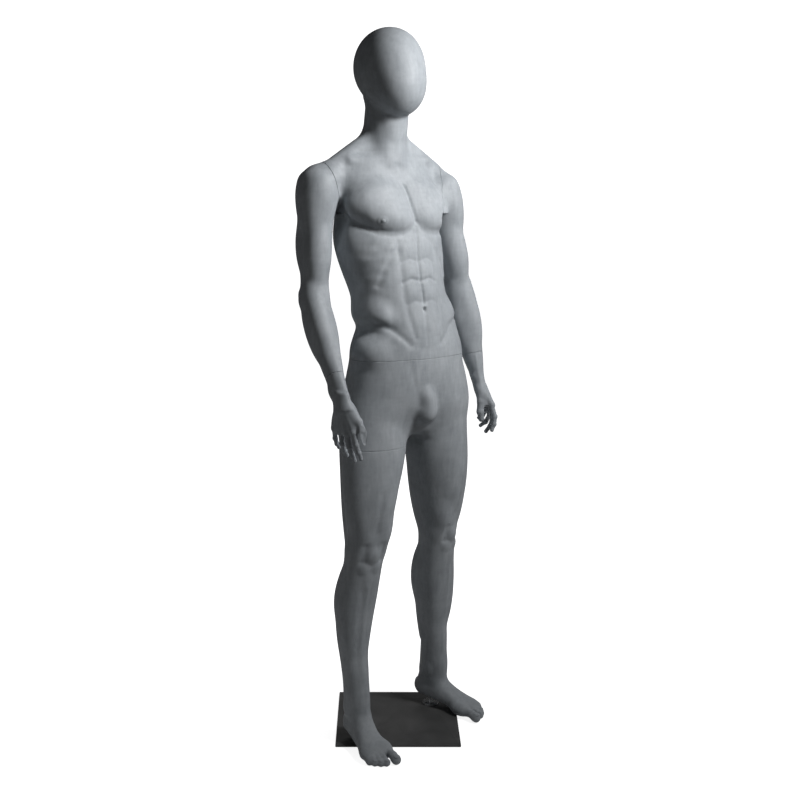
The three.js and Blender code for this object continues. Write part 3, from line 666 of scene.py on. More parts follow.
def leg(p, limb):
    h, out, forward = leg_space(p, limb)
    q = (h, out, forward)
    f = loft(q, LEG, power=2.1, cap=14)
    for centre, reach, k in THIGH_MUSCLES + KNEE_AND_SHIN:
        f = join(f, egg(q, centre, reach), k)
    f = join(f, rod(q, (200, 0, -26), (84, 0, -32), 10, 9), 12)
    f = join(f, egg(q, (88, 27, -2), (17, 8, 12)), 12)
    f = join(f, egg(q, (99, -26, 2), (16, 7, 12)), 12)
    for points, depth, width, facing in LEG_FOLDS:
        if facing == 0:
            f = f + fold(h, forward, points, depth, width) * fade(out, 5, 35)
        else:
            f = f + fold(h, out, points, depth, width) * fade(forward * F(facing), 0, 18)
    return f


# distance along the foot from under the ankle, reach outward, inward, and height of the top
FOOT = [
    (-53, 9, 9, 52),
    (-48, 19, 19, 68),
    (-36, 27, 27, 88),
    (-12, 31, 30, 104),
    (12, 33, 31, 106),
    (40, 36, 32, 86),
    (70, 38, 32, 61),
    (100, 43, 36, 46),
    (122, 45, 39, 37),
    (140, 41, 37, 29),
]
# place across at the root and the tip, where it ends, height, radius
TOES = [
    (-23, -26, 180, 14, 13.0),
    (2, 1, 174, 11, 9.8),
    (16, 15, 168, 10.5, 9.4),
    (29, 28, 158, 10, 9.0),
    (40, 38, 146, 9.5, 8.4),
]


def sole(along, heel_up):
    return 4 + (heel_up - 5) * min(max((118 - along) / 130, 0), 1) + max(-32 - along, 0) * 0.9


def foot(p, limb):
    turn, side = math.radians(limb["turn"]), limb["side"]
    forward = (math.sin(turn) * side, -math.cos(turn), 0)
    outward = (math.cos(turn) * side, math.sin(turn), 0)
    q = local(p, (*limb["ankle"][:2], 0), (forward, outward, (0, 0, 1)))
    u, v, w = q
    rows = []
    for along, out, inward, top in FOOT:
        bottom = sole(along, limb["heel_up"])
        rows.append((along, out, inward, max(top - bottom - 15, 8), 15, bottom + 15))
    table = smooth_table(rows)
    middle = look_up(table, 5, u)
    f = loft((u, v - fade(u, 20, 120) * 5, w - middle), table, power=2.2, cap=10)
    f = join(f, egg(q, (-20, 0, limb["heel_up"] + 27), (32, 29, 29)), 12)
    f = join(f, egg(q, (108, -22, 22), (28, 18, 18)), 14)
    f = join(f, egg(q, (112, 31, 17), (24, 15, 14)), 12)
    arch = spot(u, w, (38, 6), (34, 22), 7.0) * fade(v, 6, -24)
    f = f + arch
    for root, tip, end, height, radius in TOES:
        a = (112, root, height + 8, radius * 0.9)
        b = (0.45 * 118 + 0.55 * end, (root + tip) / 2, height + 5, radius * 0.86)
        c = (end - radius, tip, height - 1.5, radius * 0.95)
        pad = egg(q, (end - radius - 3, tip, height), (radius * 1.1, radius, radius * 0.86))
        toe = join(chain(q, [a, b, c], 3), pad, 3)
        nail_at = (end - radius * 0.9, tip, height + radius * 0.72)
        plate = egg(q, nail_at, (radius * 0.75, radius * 0.68, radius * 0.3))
        toe = join(toe, plate, 0.8)
        f = join(f, toe, 3.0 if root < 0 else 6.5)
        f = join(f, rod(q, (50, root * 0.4, 60), (112, root, height + 9), 5, 6), 12)
    return f


def whole_leg(p, limb):
    return join(leg(p, limb), foot(p, limb), 16)


# ------------------------------------------------------------------ mouldings


def beyond(p, at, out):
    """Signed distance past a plane, on the side that `out` points to."""
    n = unit(out)
    return sum((c - F(o)) * F(e) for c, o, e in zip(p, at, n))


ARMPIT_Z = 1412  # the shoulder seams are cut above this height
SEAM_FOOT = 8  # from that height to the lower edge of the seam
SEAM_SPARE = 7  # material left past a seam until the mesh is cut there


def shoulder_blend(z):
    return F(1.5) + F(24) * fade(z, ARMPIT_Z - 4, 1470)


def torso_field(p):
    body = join(trunk(p), head(p), 26)
    above = p[2] - F(ARMPIT_Z)
    reach = np.where(above > SEAM_FOOT, F(SEAM_SPARE), F(0.5) * np.maximum(-above - F(4), 0) - F(1.5))
    for limb in (RIGHT, LEFT):
        past = beyond(p, **limb["seam"])
        stub = np.maximum(upper_arm(p, limb), past - SEAM_SPARE)
        body = join(body, stub, shoulder_blend(p[2]))
        body = np.where(p[0] * limb["side"] > 60, keep(body, past - reach, 5.0), body)
    return np.maximum(body, (WAIST["at"][2] - SEAM_SPARE) - p[2])


def lower_field(p):
    body = join(trunk(p), whole_leg(p, LEFT), 22)
    stub = np.maximum(leg(p, RIGHT), (THIGH_Z - SEAM_SPARE) - p[2])
    body = join(body, stub, F(22))
    return np.maximum(body, p[2] - (WAIST["at"][2] + SEAM_SPARE))


def right_leg_field(p):
    joined = join(whole_leg(p, RIGHT), np.maximum(trunk(p), THIGH_Z - p[2]), 22)
    return np.maximum(joined, p[2] - (THIGH_Z + SEAM_SPARE))


def arm_field(limb):
    def field(p):
        past = beyond(p, **limb["seam"])
        chest = np.maximum(trunk(p), np.maximum(-past - SEAM_SPARE, ARMPIT_Z + SEAM_FOOT - p[2]))
        return join(arm(p, limb), chest, shoulder_blend(p[2]))

    return field


def hand_field(limb):
    return lambda p: join(hand(p, limb), forearm(p, limb), 9)


def wrist_seam(limb):
    along = np.subtract(limb["wrist"], limb["elbow"])
    return {"at": tuple(np.add(limb["elbow"], along * limb["wrist_share"])), "out": tuple(unit(along))}


# ------------------------------------------------------------------ meshing

COARSE = 4  # the field is first read on a grid this many times coarser


def evaluate(field, points, chunk=400_000):
    out = np.empty(len(points), F)
    for i in range(0, len(points), chunk):
        part = points[i : i + chunk]
        out[i : i + chunk] = field((part[:, 0], part[:, 1], part[:, 2]))
    return out


def grid_points(low, counts, step):
    ranges = [low[i] + step * np.arange(counts[i]) for i in range(3)]
    return np.stack(np.meshgrid(*ranges, indexing="ij"), -1).reshape(-1, 3).astype(F)


def sample(field, low, high, voxel):
    """The field on a grid, read finely only near its surface."""
    low, high = np.array(low, float), np.array(high, float)
    big = voxel * COARSE
    cells = np.ceil((high - low) / big).astype(int)
    middle = evaluate(field, grid_points(low + big / 2 - voxel / 2, cells, big)).reshape(cells)
    near = np.abs(middle) < big * 1.35
    fine = near
    values = middle
    for axis in range(3):
        fine = fine.repeat(COARSE, axis)
        values = values.repeat(COARSE, axis)
    index = np.argwhere(fine)
    points = (low + index * voxel).astype(F)
    values[fine] = evaluate(field, points)
    return np.clip(values, -3 * voxel, 3 * voxel), low


def settle(field, points, rounds=2):
    """Moves points onto the field's zero level."""
    h = 0.4
    for _ in range(rounds):
        value = evaluate(field, points)
        slope = np.empty((len(points), 3), F)
        for axis in range(3):
            step = np.zeros(3, F)
            step[axis] = h
            ahead, behind = evaluate(field, points + step), evaluate(field, points - step)
            slope[:, axis] = (ahead - behind) / (2 * h)
        size = np.maximum((slope**2).sum(1), F(0.2))
        move = slope * (value / size)[:, None]
        length = np.maximum(np.linalg.norm(move, axis=1), 1e-6)
        points = points - move * np.minimum(1, 1.2 / length)[:, None]
    return points


def sculpt(name, field, low, high, voxel):
    """A smooth closed mesh of a field, between two corners in millimetres."""
    values, low = sample(field, low, high, voxel)
    grid = openvdb.FloatGrid(background=float(3 * voxel))
    grid.copyFromArray(values)
    grid.transform = openvdb.createLinearTransform(voxelSize=voxel)
    points, quads = grid.convertToQuads()
    points = (np.asarray(points) + low).astype(F)
    points = settle(field, points) * MM
    mesh = bpy.data.meshes.new(name)
    mesh.from_pydata(points.tolist(), [], np.asarray(quads)[:, ::-1].tolist())
    mesh.update()
    return mesh


def ordered_loops(edges):
    """Vertices of closed edge loops, in order, with the longest loop first."""
    left, loops = set(edges), []
    for first in edges:
        if first not in left:
            continue
        left.discard(first)
        start, at = first.verts
        loop = [start]
        while at is not start:
            loop.append(at)
            following = next(e for e in at.link_edges if e in left)
            left.discard(following)
            at = following.other_vert(at)
        left -= {e for v in loop for e in v.link_edges}
        loops.append(loop)
    return sorted(loops, key=len, reverse=True)


def evenly(points, samples=160, smoothing=3):
    """The same closed outline through evenly spaced, slightly smoothed points."""
    ends = np.vstack([points, points[:1]])
    along = np.concatenate([[0], np.cumsum(np.linalg.norm(np.diff(ends, axis=0), axis=1))])
    even = np.linspace(0, along[-1], samples, endpoint=False)
    ring = np.stack([np.interp(even, along, ends[:, i]) for i in range(3)], 1)
    for _ in range(smoothing):
        ring = (np.roll(ring, 1, 0) + 2 * ring + np.roll(ring, -1, 0)) / 4
    return ring


def close_rim(bm, loop, out, wall):
    """Closes an open end with a chamfered rim and a pocket for its board; gives the board's outline."""
    points = np.array([tuple(v.co) for v in loop])
    middle = evenly(points).mean(0)
    radius = np.linalg.norm(points - middle, axis=1).mean()
    deep = BOARD["recess"] + BOARD["thickness"] + BOARD["play"]
    rise = np.array(out) * MM
    last = loop
    for drawn_in, up in ((CHAMFER, CHAMFER), (CHAMFER + wall, CHAMFER), (CHAMFER + wall, CHAMFER - deep)):
        share = 1 - drawn_in * MM / radius
        made = [bm.verts.new(p) for p in middle + (points - middle) * share + rise * up]
        for i in range(len(loop)):
            j = (i + 1) % len(loop)
            bm.faces.new((last[i], last[j], made[j], made[i]))
        last = made
    bm.faces.new(last)
    share = 1 - (CHAMFER + wall + BOARD["play"]) * MM / radius
    outline = middle + (evenly(points) - middle) * share + rise * CHAMFER
    return [Vector(p) for p in outline]


def cut_at_seam(mesh, at, out, zone=None, wall=WALL):
    """Cuts a mesh just short of a seam and closes it; gives the outlines of its boards."""
    at, out = Vector(at) * MM, Vector(out).normalized()
    near = at - out * (SEAM_GAP + CHAMFER) * MM
    bm = bmesh.new()
    bm.from_mesh(mesh)
    verts = [v for v in bm.verts if zone is None or zone(v.co / MM)]
    chosen = set(verts)
    faces = [f for f in bm.faces if all(v in chosen for v in f.verts)]
    edges = {e for f in faces for e in f.edges}
    bmesh.ops.bisect_plane(
        bm, geom=verts + list(edges) + faces, plane_co=near, plane_no=out, clear_outer=True
    )
    rim = [e for e in bm.edges if e.is_boundary]
    if any(abs((v.co - near).dot(out)) > 2e-5 for e in rim for v in e.verts):
        raise ValueError(f"{mesh.name}: the cut at {tuple(at)} is not clean")
    outlines = [close_rim(bm, loop, out, wall) for loop in ordered_loops(rim)]
    bmesh.ops.recalc_face_normals(bm, faces=bm.faces)
    bm.to_mesh(mesh)
    bm.free()
    return outlines


def shown(mesh, name, body, material, replaced=()):
    """Puts a mesh in the scene as a piece that rides on a body."""
    piece = bpy.data.objects.new(name, mesh)
    bpy.context.scene.collection.objects.link(piece)
    mesh.materials.clear()
    mesh.materials.append(material)
    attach(piece, body)
    if replaced:
        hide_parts(*replaced)
    return piece


# ------------------------------------------------------------------ materials


def new_material(name):
    material = bpy.data.materials.new(name)
    material.use_nodes = True
    tree = material.node_tree
    return material, tree, tree.nodes["Principled BSDF"]


def object_place(tree, scale=(1, 1, 1)):
    """Object coordinates, stretched."""
    place = tree.nodes.new("ShaderNodeTexCoord")
    mapping = tree.nodes.new("ShaderNodeMapping")
    mapping.inputs["Scale"].default_value = scale
    tree.links.new(place.outputs["Object"], mapping.inputs["Vector"])
    return mapping.outputs["Vector"]


def noise(tree, vector, scale, detail=4.0, roughness=0.55, distortion=0.0):
    node = tree.nodes.new("ShaderNodeTexNoise")
    node.inputs["Scale"].default_value = scale
    node.inputs["Detail"].default_value = detail
    node.inputs["Roughness"].default_value = roughness
    node.inputs["Distortion"].default_value = distortion
    tree.links.new(vector, node.inputs["Vector"])
    return node.outputs["Fac"]


def ramp(tree, value, *stops):
    """Colour ramp through (position, colour) stops."""
    node = tree.nodes.new("ShaderNodeValToRGB")
    marks = node.color_ramp.elements
    while len(marks) < len(stops):
        marks.new(0.5)
    for mark, (position, colour) in zip(marks, stops):
        mark.position = position
        mark.color = (*colour, 1)
    tree.links.new(value, node.inputs["Fac"])
    return node.outputs["Color"]


def blend_colours(tree, a, b, share, mode="MIX"):
    node = tree.nodes.new("ShaderNodeMix")
    node.data_type = "RGBA"
    node.blend_type = mode
    node.inputs["Factor"].default_value = share
    tree.links.new(a, node.inputs["A"])
    tree.links.new(b, node.inputs["B"])
    return node.outputs["Result"]


def spread(tree, value, low, high):
    """Maps a 0 to 1 value to a range."""
    node = tree.nodes.new("ShaderNodeMapRange")
    node.inputs["From Min"].default_value = 0.3
    node.inputs["From Max"].default_value = 0.7
    node.inputs["To Min"].default_value = low
    node.inputs["To Max"].default_value = high
    tree.links.new(value, node.inputs["Value"])
    return node.outputs["Result"]


def bump(tree, shader, *layers):
    """Stacks (height, strength, distance) layers of bump."""
    normal = None
    for height, strength, distance in layers:
        node = tree.nodes.new("ShaderNodeBump")
        node.inputs["Strength"].default_value = strength
        node.inputs["Distance"].default_value = distance
        tree.links.new(height, node.inputs["Height"])
        if normal is not None:
            tree.links.new(normal, node.inputs["Normal"])
        normal = node.outputs["Normal"]
    tree.links.new(normal, shader.inputs["Normal"])


def coat(tree, shader, colour, roughness):
    """Sets a shader's colour and roughness from two sockets."""
    tree.links.new(colour, shader.inputs["Base Color"])
    tree.links.new(roughness, shader.inputs["Roughness"])


def grey(value, tint=0.0):
    return (value * (1 - tint), value, value * (1 + tint))


def moulding_material():
    """Matt grey paint on glass fibre: clouded, lightly brushed and finely grained."""
    material, tree, shader = new_material("matt_grey_paint")
    place = object_place(tree)
    clouds = noise(tree, place, 11, 6, 0.62, 0.6)
    strokes = noise(tree, object_place(tree, (1.0, 1.0, 0.22)), 95, 5, 0.6, 0.4)
    cross = noise(tree, object_place(tree, (0.3, 0.3, 1.0)), 120, 4, 0.6)
    speckle = noise(tree, place, 900, 2, 0.6)
    base = ramp(tree, clouds, (0.32, grey(0.30, 0.076)), (0.5, grey(0.36, 0.067)), (0.68, grey(0.42, 0.057)))
    brushed = ramp(tree, strokes, (0.3, grey(0.24, 0.085)), (0.7, grey(0.50, 0.057)))
    woven = ramp(tree, cross, (0.3, grey(0.27, 0.076)), (0.7, grey(0.46, 0.057)))
    colour = blend_colours(tree, base, brushed, 0.30)
    colour = blend_colours(tree, colour, woven, 0.16)
    grain = ramp(tree, speckle, (0.3, grey(0.4)), (0.7, grey(0.6)))
    colour = blend_colours(tree, colour, grain, 0.12, "OVERLAY")
    coat(tree, shader, colour, spread(tree, clouds, 0.52, 0.66))
    shader.inputs["Specular IOR Level"].default_value = 0.42
    bump(tree, shader, (strokes, 0.10, 0.0006), (cross, 0.06, 0.0004), (speckle, 0.14, 0.00025))
    return material


def plywood_material():
    material, tree, shader = new_material("plywood")
    grain = noise(tree, object_place(tree, (9, 1, 9)), 14, 6, 0.6, 1.2)
    dark, middle, pale = (0.30, 0.18, 0.085), (0.44, 0.29, 0.15), (0.55, 0.40, 0.23)
    colour = ramp(tree, grain, (0.3, dark), (0.5, middle), (0.72, pale))
    coat(tree, shader, colour, spread(tree, grain, 0.6, 0.8))
    bump(tree, shader, (grain, 0.25, 0.0004))
    return material


def zinc_material():
    material, tree, shader = new_material("zinc_plate")
    mottle = noise(tree, object_place(tree), 160, 4, 0.6)
    colour = ramp(tree, mottle, (0.3, (0.50, 0.51, 0.50)), (0.7, (0.68, 0.68, 0.65)))
    coat(tree, shader, colour, spread(tree, mottle, 0.28, 0.42))
    shader.inputs["Metallic"].default_value = 1.0
    bump(tree, shader, (mottle, 0.1, 0.0002))
    return material


def chrome_material():
    material, tree, shader = new_material("chrome_plate")
    haze = noise(tree, object_place(tree), 60, 3)
    scratches = noise(tree, object_place(tree, (1, 1, 12)), 260, 3)
    colour = ramp(tree, haze, (0.3, (0.74, 0.75, 0.76)), (0.7, (0.86, 0.87, 0.88)))
    coat(tree, shader, colour, spread(tree, haze, 0.20, 0.30))
    shader.inputs["Metallic"].default_value = 1.0
    bump(tree, shader, (scratches, 0.03, 0.0001))
    return material


def plate_material():
    """Dark satin powder coat with a fine orange peel and a few worn patches."""
    material, tree, shader = new_material("charcoal_powder_coat")
    place = object_place(tree)
    peel = noise(tree, place, 420, 3, 0.5)
    wear = noise(tree, place, 13, 6, 0.65, 0.5)
    colour = ramp(tree, wear, (0.32, grey(0.075)), (0.55, grey(0.10)), (0.75, grey(0.125)))
    coat(tree, shader, colour, spread(tree, wear, 0.34, 0.44))
    shader.inputs["Specular IOR Level"].default_value = 0.5
    bump(tree, shader, (peel, 0.18, 0.0002))
    return material


def rubber_material():
    material, tree, shader = new_material("black_rubber")
    ribs = noise(tree, object_place(tree), 700, 3)
    colour = ramp(tree, ribs, (0.3, grey(0.012)), (0.7, grey(0.022)))
    coat(tree, shader, colour, spread(tree, ribs, 0.75, 0.9))
    bump(tree, shader, (ribs, 0.3, 0.0002))
    return material


PAINT = moulding_material()
PLYWOOD = plywood_material()
ZINC = zinc_material()
CHROME = chrome_material()
POWDER_COAT = plate_material()
RUBBER = rubber_material()

# ------------------------------------------------------------------ figure


MOULDING_EDGE = 34  # degrees; a sharper fold is shaded as an edge


def smooth(mesh, edge):
    """Smooth shading, except across folds of more than `edge` degrees."""
    mesh.polygons.foreach_set("use_smooth", [True] * len(mesh.polygons))
    mesh.set_sharp_from_angle(angle=math.radians(edge))


def mesh_from(bm, name):
    """The finished mesh of a bmesh, which is freed."""
    mesh = bpy.data.meshes.new(name)
    bm.to_mesh(mesh)
    bm.free()
    return mesh


def board_piece(name, outline, at, out, body, replaced, socket_radius=0.0):
    """A plywood board that fills a pocket, with a round hole where a socket needs one."""
    out = Vector(out).normalized()
    bm = bmesh.new()
    loop = [bm.verts.new(v) for v in outline]
    edges = [bm.edges.new(pair) for pair in zip(loop, loop[1:] + loop[:1])]
    if socket_radius:
        centre = Vector(at) * MM
        centre += out * (outline[0] - centre).dot(out)
        turn = out.to_track_quat("Z", "Y").to_matrix().to_4x4()
        made = bmesh.ops.create_circle(
            bm, segments=48, radius=socket_radius * MM, matrix=Matrix.Translation(centre) @ turn
        )
        edges += list({e for v in made["verts"] for e in v.link_edges})
    bmesh.ops.triangle_fill(bm, use_beauty=True, edges=edges)
    for v in bm.verts:
        v.co -= out * BOARD["recess"] * MM
    front = list(bm.faces)
    made = bmesh.ops.extrude_face_region(bm, geom=front)
    for item in made["geom"]:
        if isinstance(item, bmesh.types.BMVert):
            item.co -= out * BOARD["thickness"] * MM
    bmesh.ops.recalc_face_normals(bm, faces=bm.faces)
    return shown(mesh_from(bm, name), name, body, PLYWOOD, [replaced])


def moulding(name, field, low, high, voxel, body, replaced, seams, holes=()):
    """A sculpted moulding with its closing boards. Each seam is (board name, plane, zone, hole's radius)."""
    mesh = sculpt(name, field, low, high, voxel)
    for board, plane, zone, hole in seams:
        wall = SHOULDER_WALL if body == "torso" and "shoulder" in board else WALL
        for outline in cut_at_seam(mesh, **plane, zone=zone, wall=wall):
            board_piece(board + "_ply", outline, **plane, body=body, replaced=board, socket_radius=hole)
    smooth(mesh, MOULDING_EDGE)
    piece = shown(mesh, name, body, PAINT, [replaced])
    for at, radius, bottom, top in holes:
        bore(piece, at, radius, bottom, top)
    return piece


def bore(piece, at, radius, bottom, top):
    """Cuts an upright round hole."""
    bm = bmesh.new()
    place = Matrix.Translation(Vector((*at, (bottom + top) / 2)) * MM)
    bmesh.ops.create_cone(
        bm, cap_ends=True, segments=48, radius1=radius * MM, radius2=radius * MM, depth=(top - bottom) * MM,
        matrix=place,
    )
    drill = bpy.data.objects.new("drill", mesh_from(bm, "drill"))
    bpy.context.scene.collection.objects.link(drill)
    modifier = piece.modifiers.new("bore", "BOOLEAN")
    modifier.operation = "DIFFERENCE"
    modifier.solver = "EXACT"
    modifier.object = drill
    bpy.context.view_layer.update()
    solid = piece.evaluated_get(bpy.context.evaluated_depsgraph_get())
    piece.data = bpy.data.meshes.new_from_object(solid)
    piece.modifiers.clear()
    bpy.data.objects.remove(drill)


def turned_over(plane):
    """The same seam seen from its other side."""
    return {"at": plane["at"], "out": tuple(-c for c in plane["out"])}


ROD_AT = (134, 36)
TUBE_RADIUS, TUBE_TOP = 8.2, 181


def build_figure():
    thigh = {"at": (-100, -37, THIGH_Z), "out": (0, 0, 1)}
    right_thigh = lambda p: p.x < 10 and p.z < THIGH_Z + 30
    upper_zone = lambda limb: (lambda p: p.z > ARMPIT_Z and p.x * limb["side"] > 60)
    seams = [("torso_waist_board", turned_over(WAIST), None, WAIST_HOLE)]
    for side, limb in (("right", RIGHT), ("left", LEFT)):
        seams.append((f"{side}_shoulder_board", limb["seam"], upper_zone(limb), LIMB_HOLE))
    moulding(
        "torso_and_head", torso_field, (-250, -130, 1034), (205, 200, 1900), 3.0,
        "torso", "torso_head_shell", seams,
    )
    seams = [
        ("pelvis_waist_board", WAIST, None, 0),
        ("pelvis_thigh_board", turned_over(thigh), right_thigh, LIMB_HOLE),
    ]
    moulding(
        "hips_and_left_leg", lower_field, (-200, -180, -4), (275, 140, 1062), 2.7,
        "lower_body", "pelvis_left_leg_shell", seams,
        holes=[(ROD_AT, TUBE_RADIUS, -20, TUBE_TOP)],
    )
    moulding(
        "detachable_right_leg", right_leg_field, (-260, -265, -4), (30, 110, 832), 2.5,
        "right_leg", "right_leg_shell", [("right_leg_board", thigh, None, 0)],
    )
    for side, limb in (("right", RIGHT), ("left", LEFT)):
        build_arm(side, limb)


def box_round(points, margin):
    points = np.array(points, float)
    return tuple(points.min(0) - margin), tuple(points.max(0) + margin)


def build_arm(side, limb):
    wrist = wrist_seam(limb)
    low, high = box_round([limb["shoulder"], limb["elbow"], wrist["at"]], 60)
    high = (high[0], high[1] + 10, high[2] + 50)
    low = (low[0] - (10 if side == "left" else 0), low[1], low[2])
    seams = [
        (f"{side}_arm_board", turned_over(limb["seam"]), lambda p: p.z > ARMPIT_Z - 30, 0),
        (f"{side}_forearm_board", wrist, None, WRIST_HOLE),
    ]
    moulding(f"{side}_arm", arm_field(limb), low, high, 2.2, f"{side}_arm", f"{side}_arm_shell", seams)
    axes = hand_axes(limb)
    palm = np.add(limb["wrist"], axes[0] * 110)
    tips = np.add(limb["wrist"], axes[0] * 165 - axes[1] * 60)
    low, high = box_round([wrist["at"], limb["wrist"], palm, tips], 45)
    mesh = sculpt(f"{side}_hand_cast", hand_field(limb), low, high, 1.5)
    cut_at_seam(mesh, **turned_over(wrist))
    smooth(mesh, MOULDING_EDGE)
    shown(mesh, f"{side}_hand_cast", f"{side}_hand", PAINT, [f"{side}_hand"])


# ------------------------------------------------------------------ base


def turned(name, profile, body, material, replaced, at=ROD_AT, segments=96):
    """A turned piece on an upright axis; its profile is (radius, height) in millimetres."""
    bm = bmesh.new()
    verts = [bm.verts.new((at[0] * MM + r * MM, at[1] * MM, z * MM)) for r, z in profile]
    edges = [bm.edges.new(pair) for pair in zip(verts, verts[1:])]
    if profile[0][0] > 0:
        edges.append(bm.edges.new((verts[-1], verts[0])))
    bmesh.ops.spin(
        bm, geom=verts + edges, cent=(at[0] * MM, at[1] * MM, 0), axis=(0, 0, 1), angle=math.tau,
        steps=segments, use_merge=True, use_duplicate=False,
    )
    bmesh.ops.remove_doubles(bm, verts=bm.verts, dist=1e-6)
    bmesh.ops.recalc_face_normals(bm, faces=bm.faces)
    mesh = mesh_from(bm, name)
    smooth(mesh, 40)
    return shown(mesh, name, body, material, [replaced])


def rounded_square(half, corner, steps=8):
    """Points of a square outline with round corners, centred on the origin."""
    points = []
    for quarter in range(4):
        middle = math.pi / 4 + quarter * math.pi / 2
        centre = [math.copysign(half - corner, turn(middle)) for turn in (math.cos, math.sin)]
        for i in range(steps + 1):
            angle = quarter * math.pi / 2 + i * math.pi / 2 / steps
            points.append((centre[0] + corner * math.cos(angle), centre[1] + corner * math.sin(angle)))
    return points


def slab(name, half, corner, bottom, top, round_edge, material, replaced, hole):
    """A square sheet, turned as the base is, with rounded edges and a round hole under the spigot."""
    bm = bmesh.new()
    turn = Matrix.Rotation(math.radians(-30), 4, "Z")
    outline = rounded_square(half, corner)
    loop = [bm.verts.new(turn @ Vector((x * MM, y * MM, bottom * MM))) for x, y in outline]
    edges = [bm.edges.new(pair) for pair in zip(loop, loop[1:] + loop[:1])]
    place = Matrix.Translation((ROD_AT[0] * MM, ROD_AT[1] * MM, bottom * MM))
    ring = bmesh.ops.create_circle(bm, segments=48, radius=hole * MM, matrix=place)["verts"]
    edges += list({e for v in ring for e in v.link_edges})
    bmesh.ops.triangle_fill(bm, use_beauty=True, edges=edges)
    made = bmesh.ops.extrude_face_region(bm, geom=list(bm.faces))
    for item in made["geom"]:
        if isinstance(item, bmesh.types.BMVert):
            item.co.z = top * MM
    bmesh.ops.recalc_face_normals(bm, faces=bm.faces)
    level = [e for e in bm.edges if abs(e.verts[0].co.z - e.verts[1].co.z) < 1e-6]
    rims = [e for e in level if len(e.link_faces) == 2 and e.calc_face_angle(0) > 1.2]
    bmesh.ops.bevel(bm, geom=rims, offset=round_edge * MM, segments=3, affect="EDGES", profile=0.5)
    mesh = mesh_from(bm, name)
    smooth(mesh, 30)
    return shown(mesh, name, "base", material, [replaced])


def heights_of(node):
    """The bottom and the top of a CAD node, in millimetres."""
    low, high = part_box(node)
    return low.z / MM, high.z / MM


def build_base():
    bottom, top = heights_of("base_plate")
    slab("steel_plate", 170, 2.5, bottom, top, 0.7, POWDER_COAT, "base_plate", 4.6)
    bottom, top = heights_of("base_underlay")
    slab("rubber_underlay", 168, 2.0, bottom, top, 0.15, RUBBER, "base_underlay", 12)
    bottom, top = heights_of("spigot_rod")
    profile = [
        (0, bottom), (4.6, bottom), (5, bottom + 0.4),
        (5, top - 3.4), (4.6, top - 2.6), (2.6, top - 0.4), (2.0, top), (0, top),
    ]
    turned("spigot", profile, "base", CHROME, "spigot_rod")
    bottom, top = heights_of("spigot_collar")
    profile = [
        (5.4, bottom), (23.6, bottom), (24, bottom + 0.4), (24, bottom + 1.9), (23.6, bottom + 2.5),
        (22.4, bottom + 3.3), (20, bottom + 3.9), (8, bottom + 4.6), (5.4, bottom + 4.7),
    ]
    turned("spigot_rose", profile, "base", CHROME, "spigot_collar")
    bottom, top = heights_of("foot_socket_tube")
    profile = [
        (5.4, bottom + 0.5), (5.9, bottom), (7.5, bottom), (8, bottom + 0.5), (8, top), (5.4, top),
    ]
    turned("heel_tube", profile, "lower_body", ZINC, "foot_socket_tube")


def dress_frame_nodes():
    """Metal looks for the fittings and fasteners that stay as the CAD made them."""
    for name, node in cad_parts.items():
        if node.hide_render:
            continue
        node.data.materials.clear()
        node.data.materials.append(PLYWOOD if name.endswith("_board") else ZINC)


# ------------------------------------------------------------------ stage

SENSOR = 36
LENS = 52.965
CAMERA = {"distance": 3.125, "aside": -0.047, "height": 1.499, "azimuth": 30, "down": 10.45, "shift": 0.024}


def build_camera():
    data = bpy.data.cameras.new("Camera")
    camera = bpy.data.objects.new("Camera", data)
    bpy.context.scene.collection.objects.link(camera)
    data.sensor_width = SENSOR
    data.lens = LENS
    data.shift_x = CAMERA["shift"]
    azimuth = math.radians(CAMERA["azimuth"])
    c, s = math.cos(azimuth), math.sin(azimuth)
    aside, distance = CAMERA["aside"], CAMERA["distance"]
    camera.location = (aside * c - distance * s, -aside * s - distance * c, CAMERA["height"])
    camera.rotation_euler = (math.radians(90 - CAMERA["down"]), 0, -azimuth)
    bpy.context.scene.camera = camera


def area_light(name, at, towards, power, size, beam=180, mirrored=True):
    data = bpy.data.lights.new(name, "AREA")
    data.energy = power
    data.spread = math.radians(beam)
    data.shape = "RECTANGLE"
    data.size, data.size_y = size
    light = bpy.data.objects.new(name, data)
    bpy.context.scene.collection.objects.link(light)
    light.location = at
    light.visible_glossy = mirrored
    light.rotation_euler = (Vector(towards) - Vector(at)).to_track_quat("-Z", "Y").to_euler()


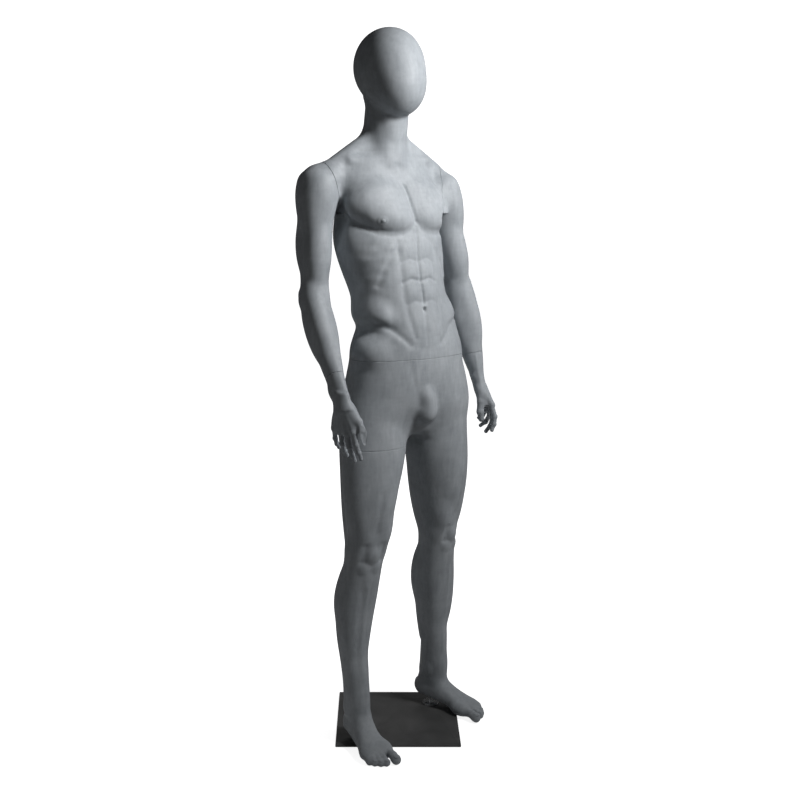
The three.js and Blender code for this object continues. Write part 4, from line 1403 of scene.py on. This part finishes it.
def build_floor():
    """A pale sweep with a painted glow that only the camera sees: the glow is weaker round the base, so the
    floor is darker there and shows its real shadows, and it is plain white further out.
    """
    bpy.ops.mesh.primitive_plane_add(size=60, location=(0, 0, -0.0005))
    floor = bpy.context.object
    floor.name = "floor"
    material, tree, shader = new_material("pale_floor")
    place = tree.nodes.new("ShaderNodeTexCoord")
    distance = tree.nodes.new("ShaderNodeVectorMath")
    distance.operation = "LENGTH"
    tree.links.new(place.outputs["Object"], distance.inputs[0])
    # painted glow on the floor, for camera rays only: 0.86 near the base, rising to 1.1 from 0.55 m out
    glow = tree.nodes.new("ShaderNodeMapRange")
    glow.inputs["From Min"].default_value = 0.2
    glow.inputs["From Max"].default_value = 0.55
    glow.inputs["To Min"].default_value = 0.86
    glow.inputs["To Max"].default_value = 1.1
    tree.links.new(distance.outputs["Value"], glow.inputs["Value"])
    shader.inputs["Base Color"].default_value = (0.8, 0.8, 0.8, 1)
    shader.inputs["Roughness"].default_value = 0.9
    shader.inputs["Specular IOR Level"].default_value = 0.1
    path = tree.nodes.new("ShaderNodeLightPath")
    seen = tree.nodes.new("ShaderNodeMath")
    seen.operation = "MULTIPLY"
    tree.links.new(path.outputs["Is Camera Ray"], seen.inputs[0])
    tree.links.new(glow.outputs["Result"], seen.inputs[1])
    shader.inputs["Emission Color"].default_value = (1, 1, 1, 1)
    tree.links.new(seen.outputs["Value"], shader.inputs["Emission Strength"])
    floor.data.materials.append(material)
    floor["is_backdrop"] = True


def build_world():
    """A white backdrop that lights the figure softly."""
    world = bpy.data.worlds.new("backdrop")
    world.use_nodes = True
    bpy.context.scene.world = world
    tree = world.node_tree
    background = tree.nodes["Background"]
    background.inputs["Color"].default_value = (1, 1, 1, 1)
    path = tree.nodes.new("ShaderNodeLightPath")
    strength = tree.nodes.new("ShaderNodeMapRange")
    strength.inputs["To Min"].default_value = 0.035
    strength.inputs["To Max"].default_value = 1.25
    tree.links.new(path.outputs["Is Camera Ray"], strength.inputs["Value"])
    tree.links.new(strength.outputs["Result"], background.inputs["Strength"])


def build_stage():
    build_floor()
    build_world()
    area_light("key", (0.75, -1.35, 2.35), (0.0, 0.0, 1.6), 12.5, (0.45, 0.45), beam=95)
    area_light("side", (1.8, -0.7, 1.0), (0.0, 0.0, 0.8), 3, (0.5, 1.2))
    area_light("back", (1.6, 2.8, 2.2), (0.0, 0.0, 1.0), 26, (1.2, 1.2), mirrored=False)
    area_light("far_side", (-2.2, 0.2, 1.3), (0.0, 0.0, 0.9), 1.5, (0.5, 1.4))
    bpy.context.scene.view_settings.view_transform = "Standard"


build_camera()
build_figure()
build_base()
dress_frame_nodes()
build_stage()

boxes = {"cad": CAD_BOX, "visual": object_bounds()}
{name: [list(corner) for corner in box] for name, box in boxes.items()}
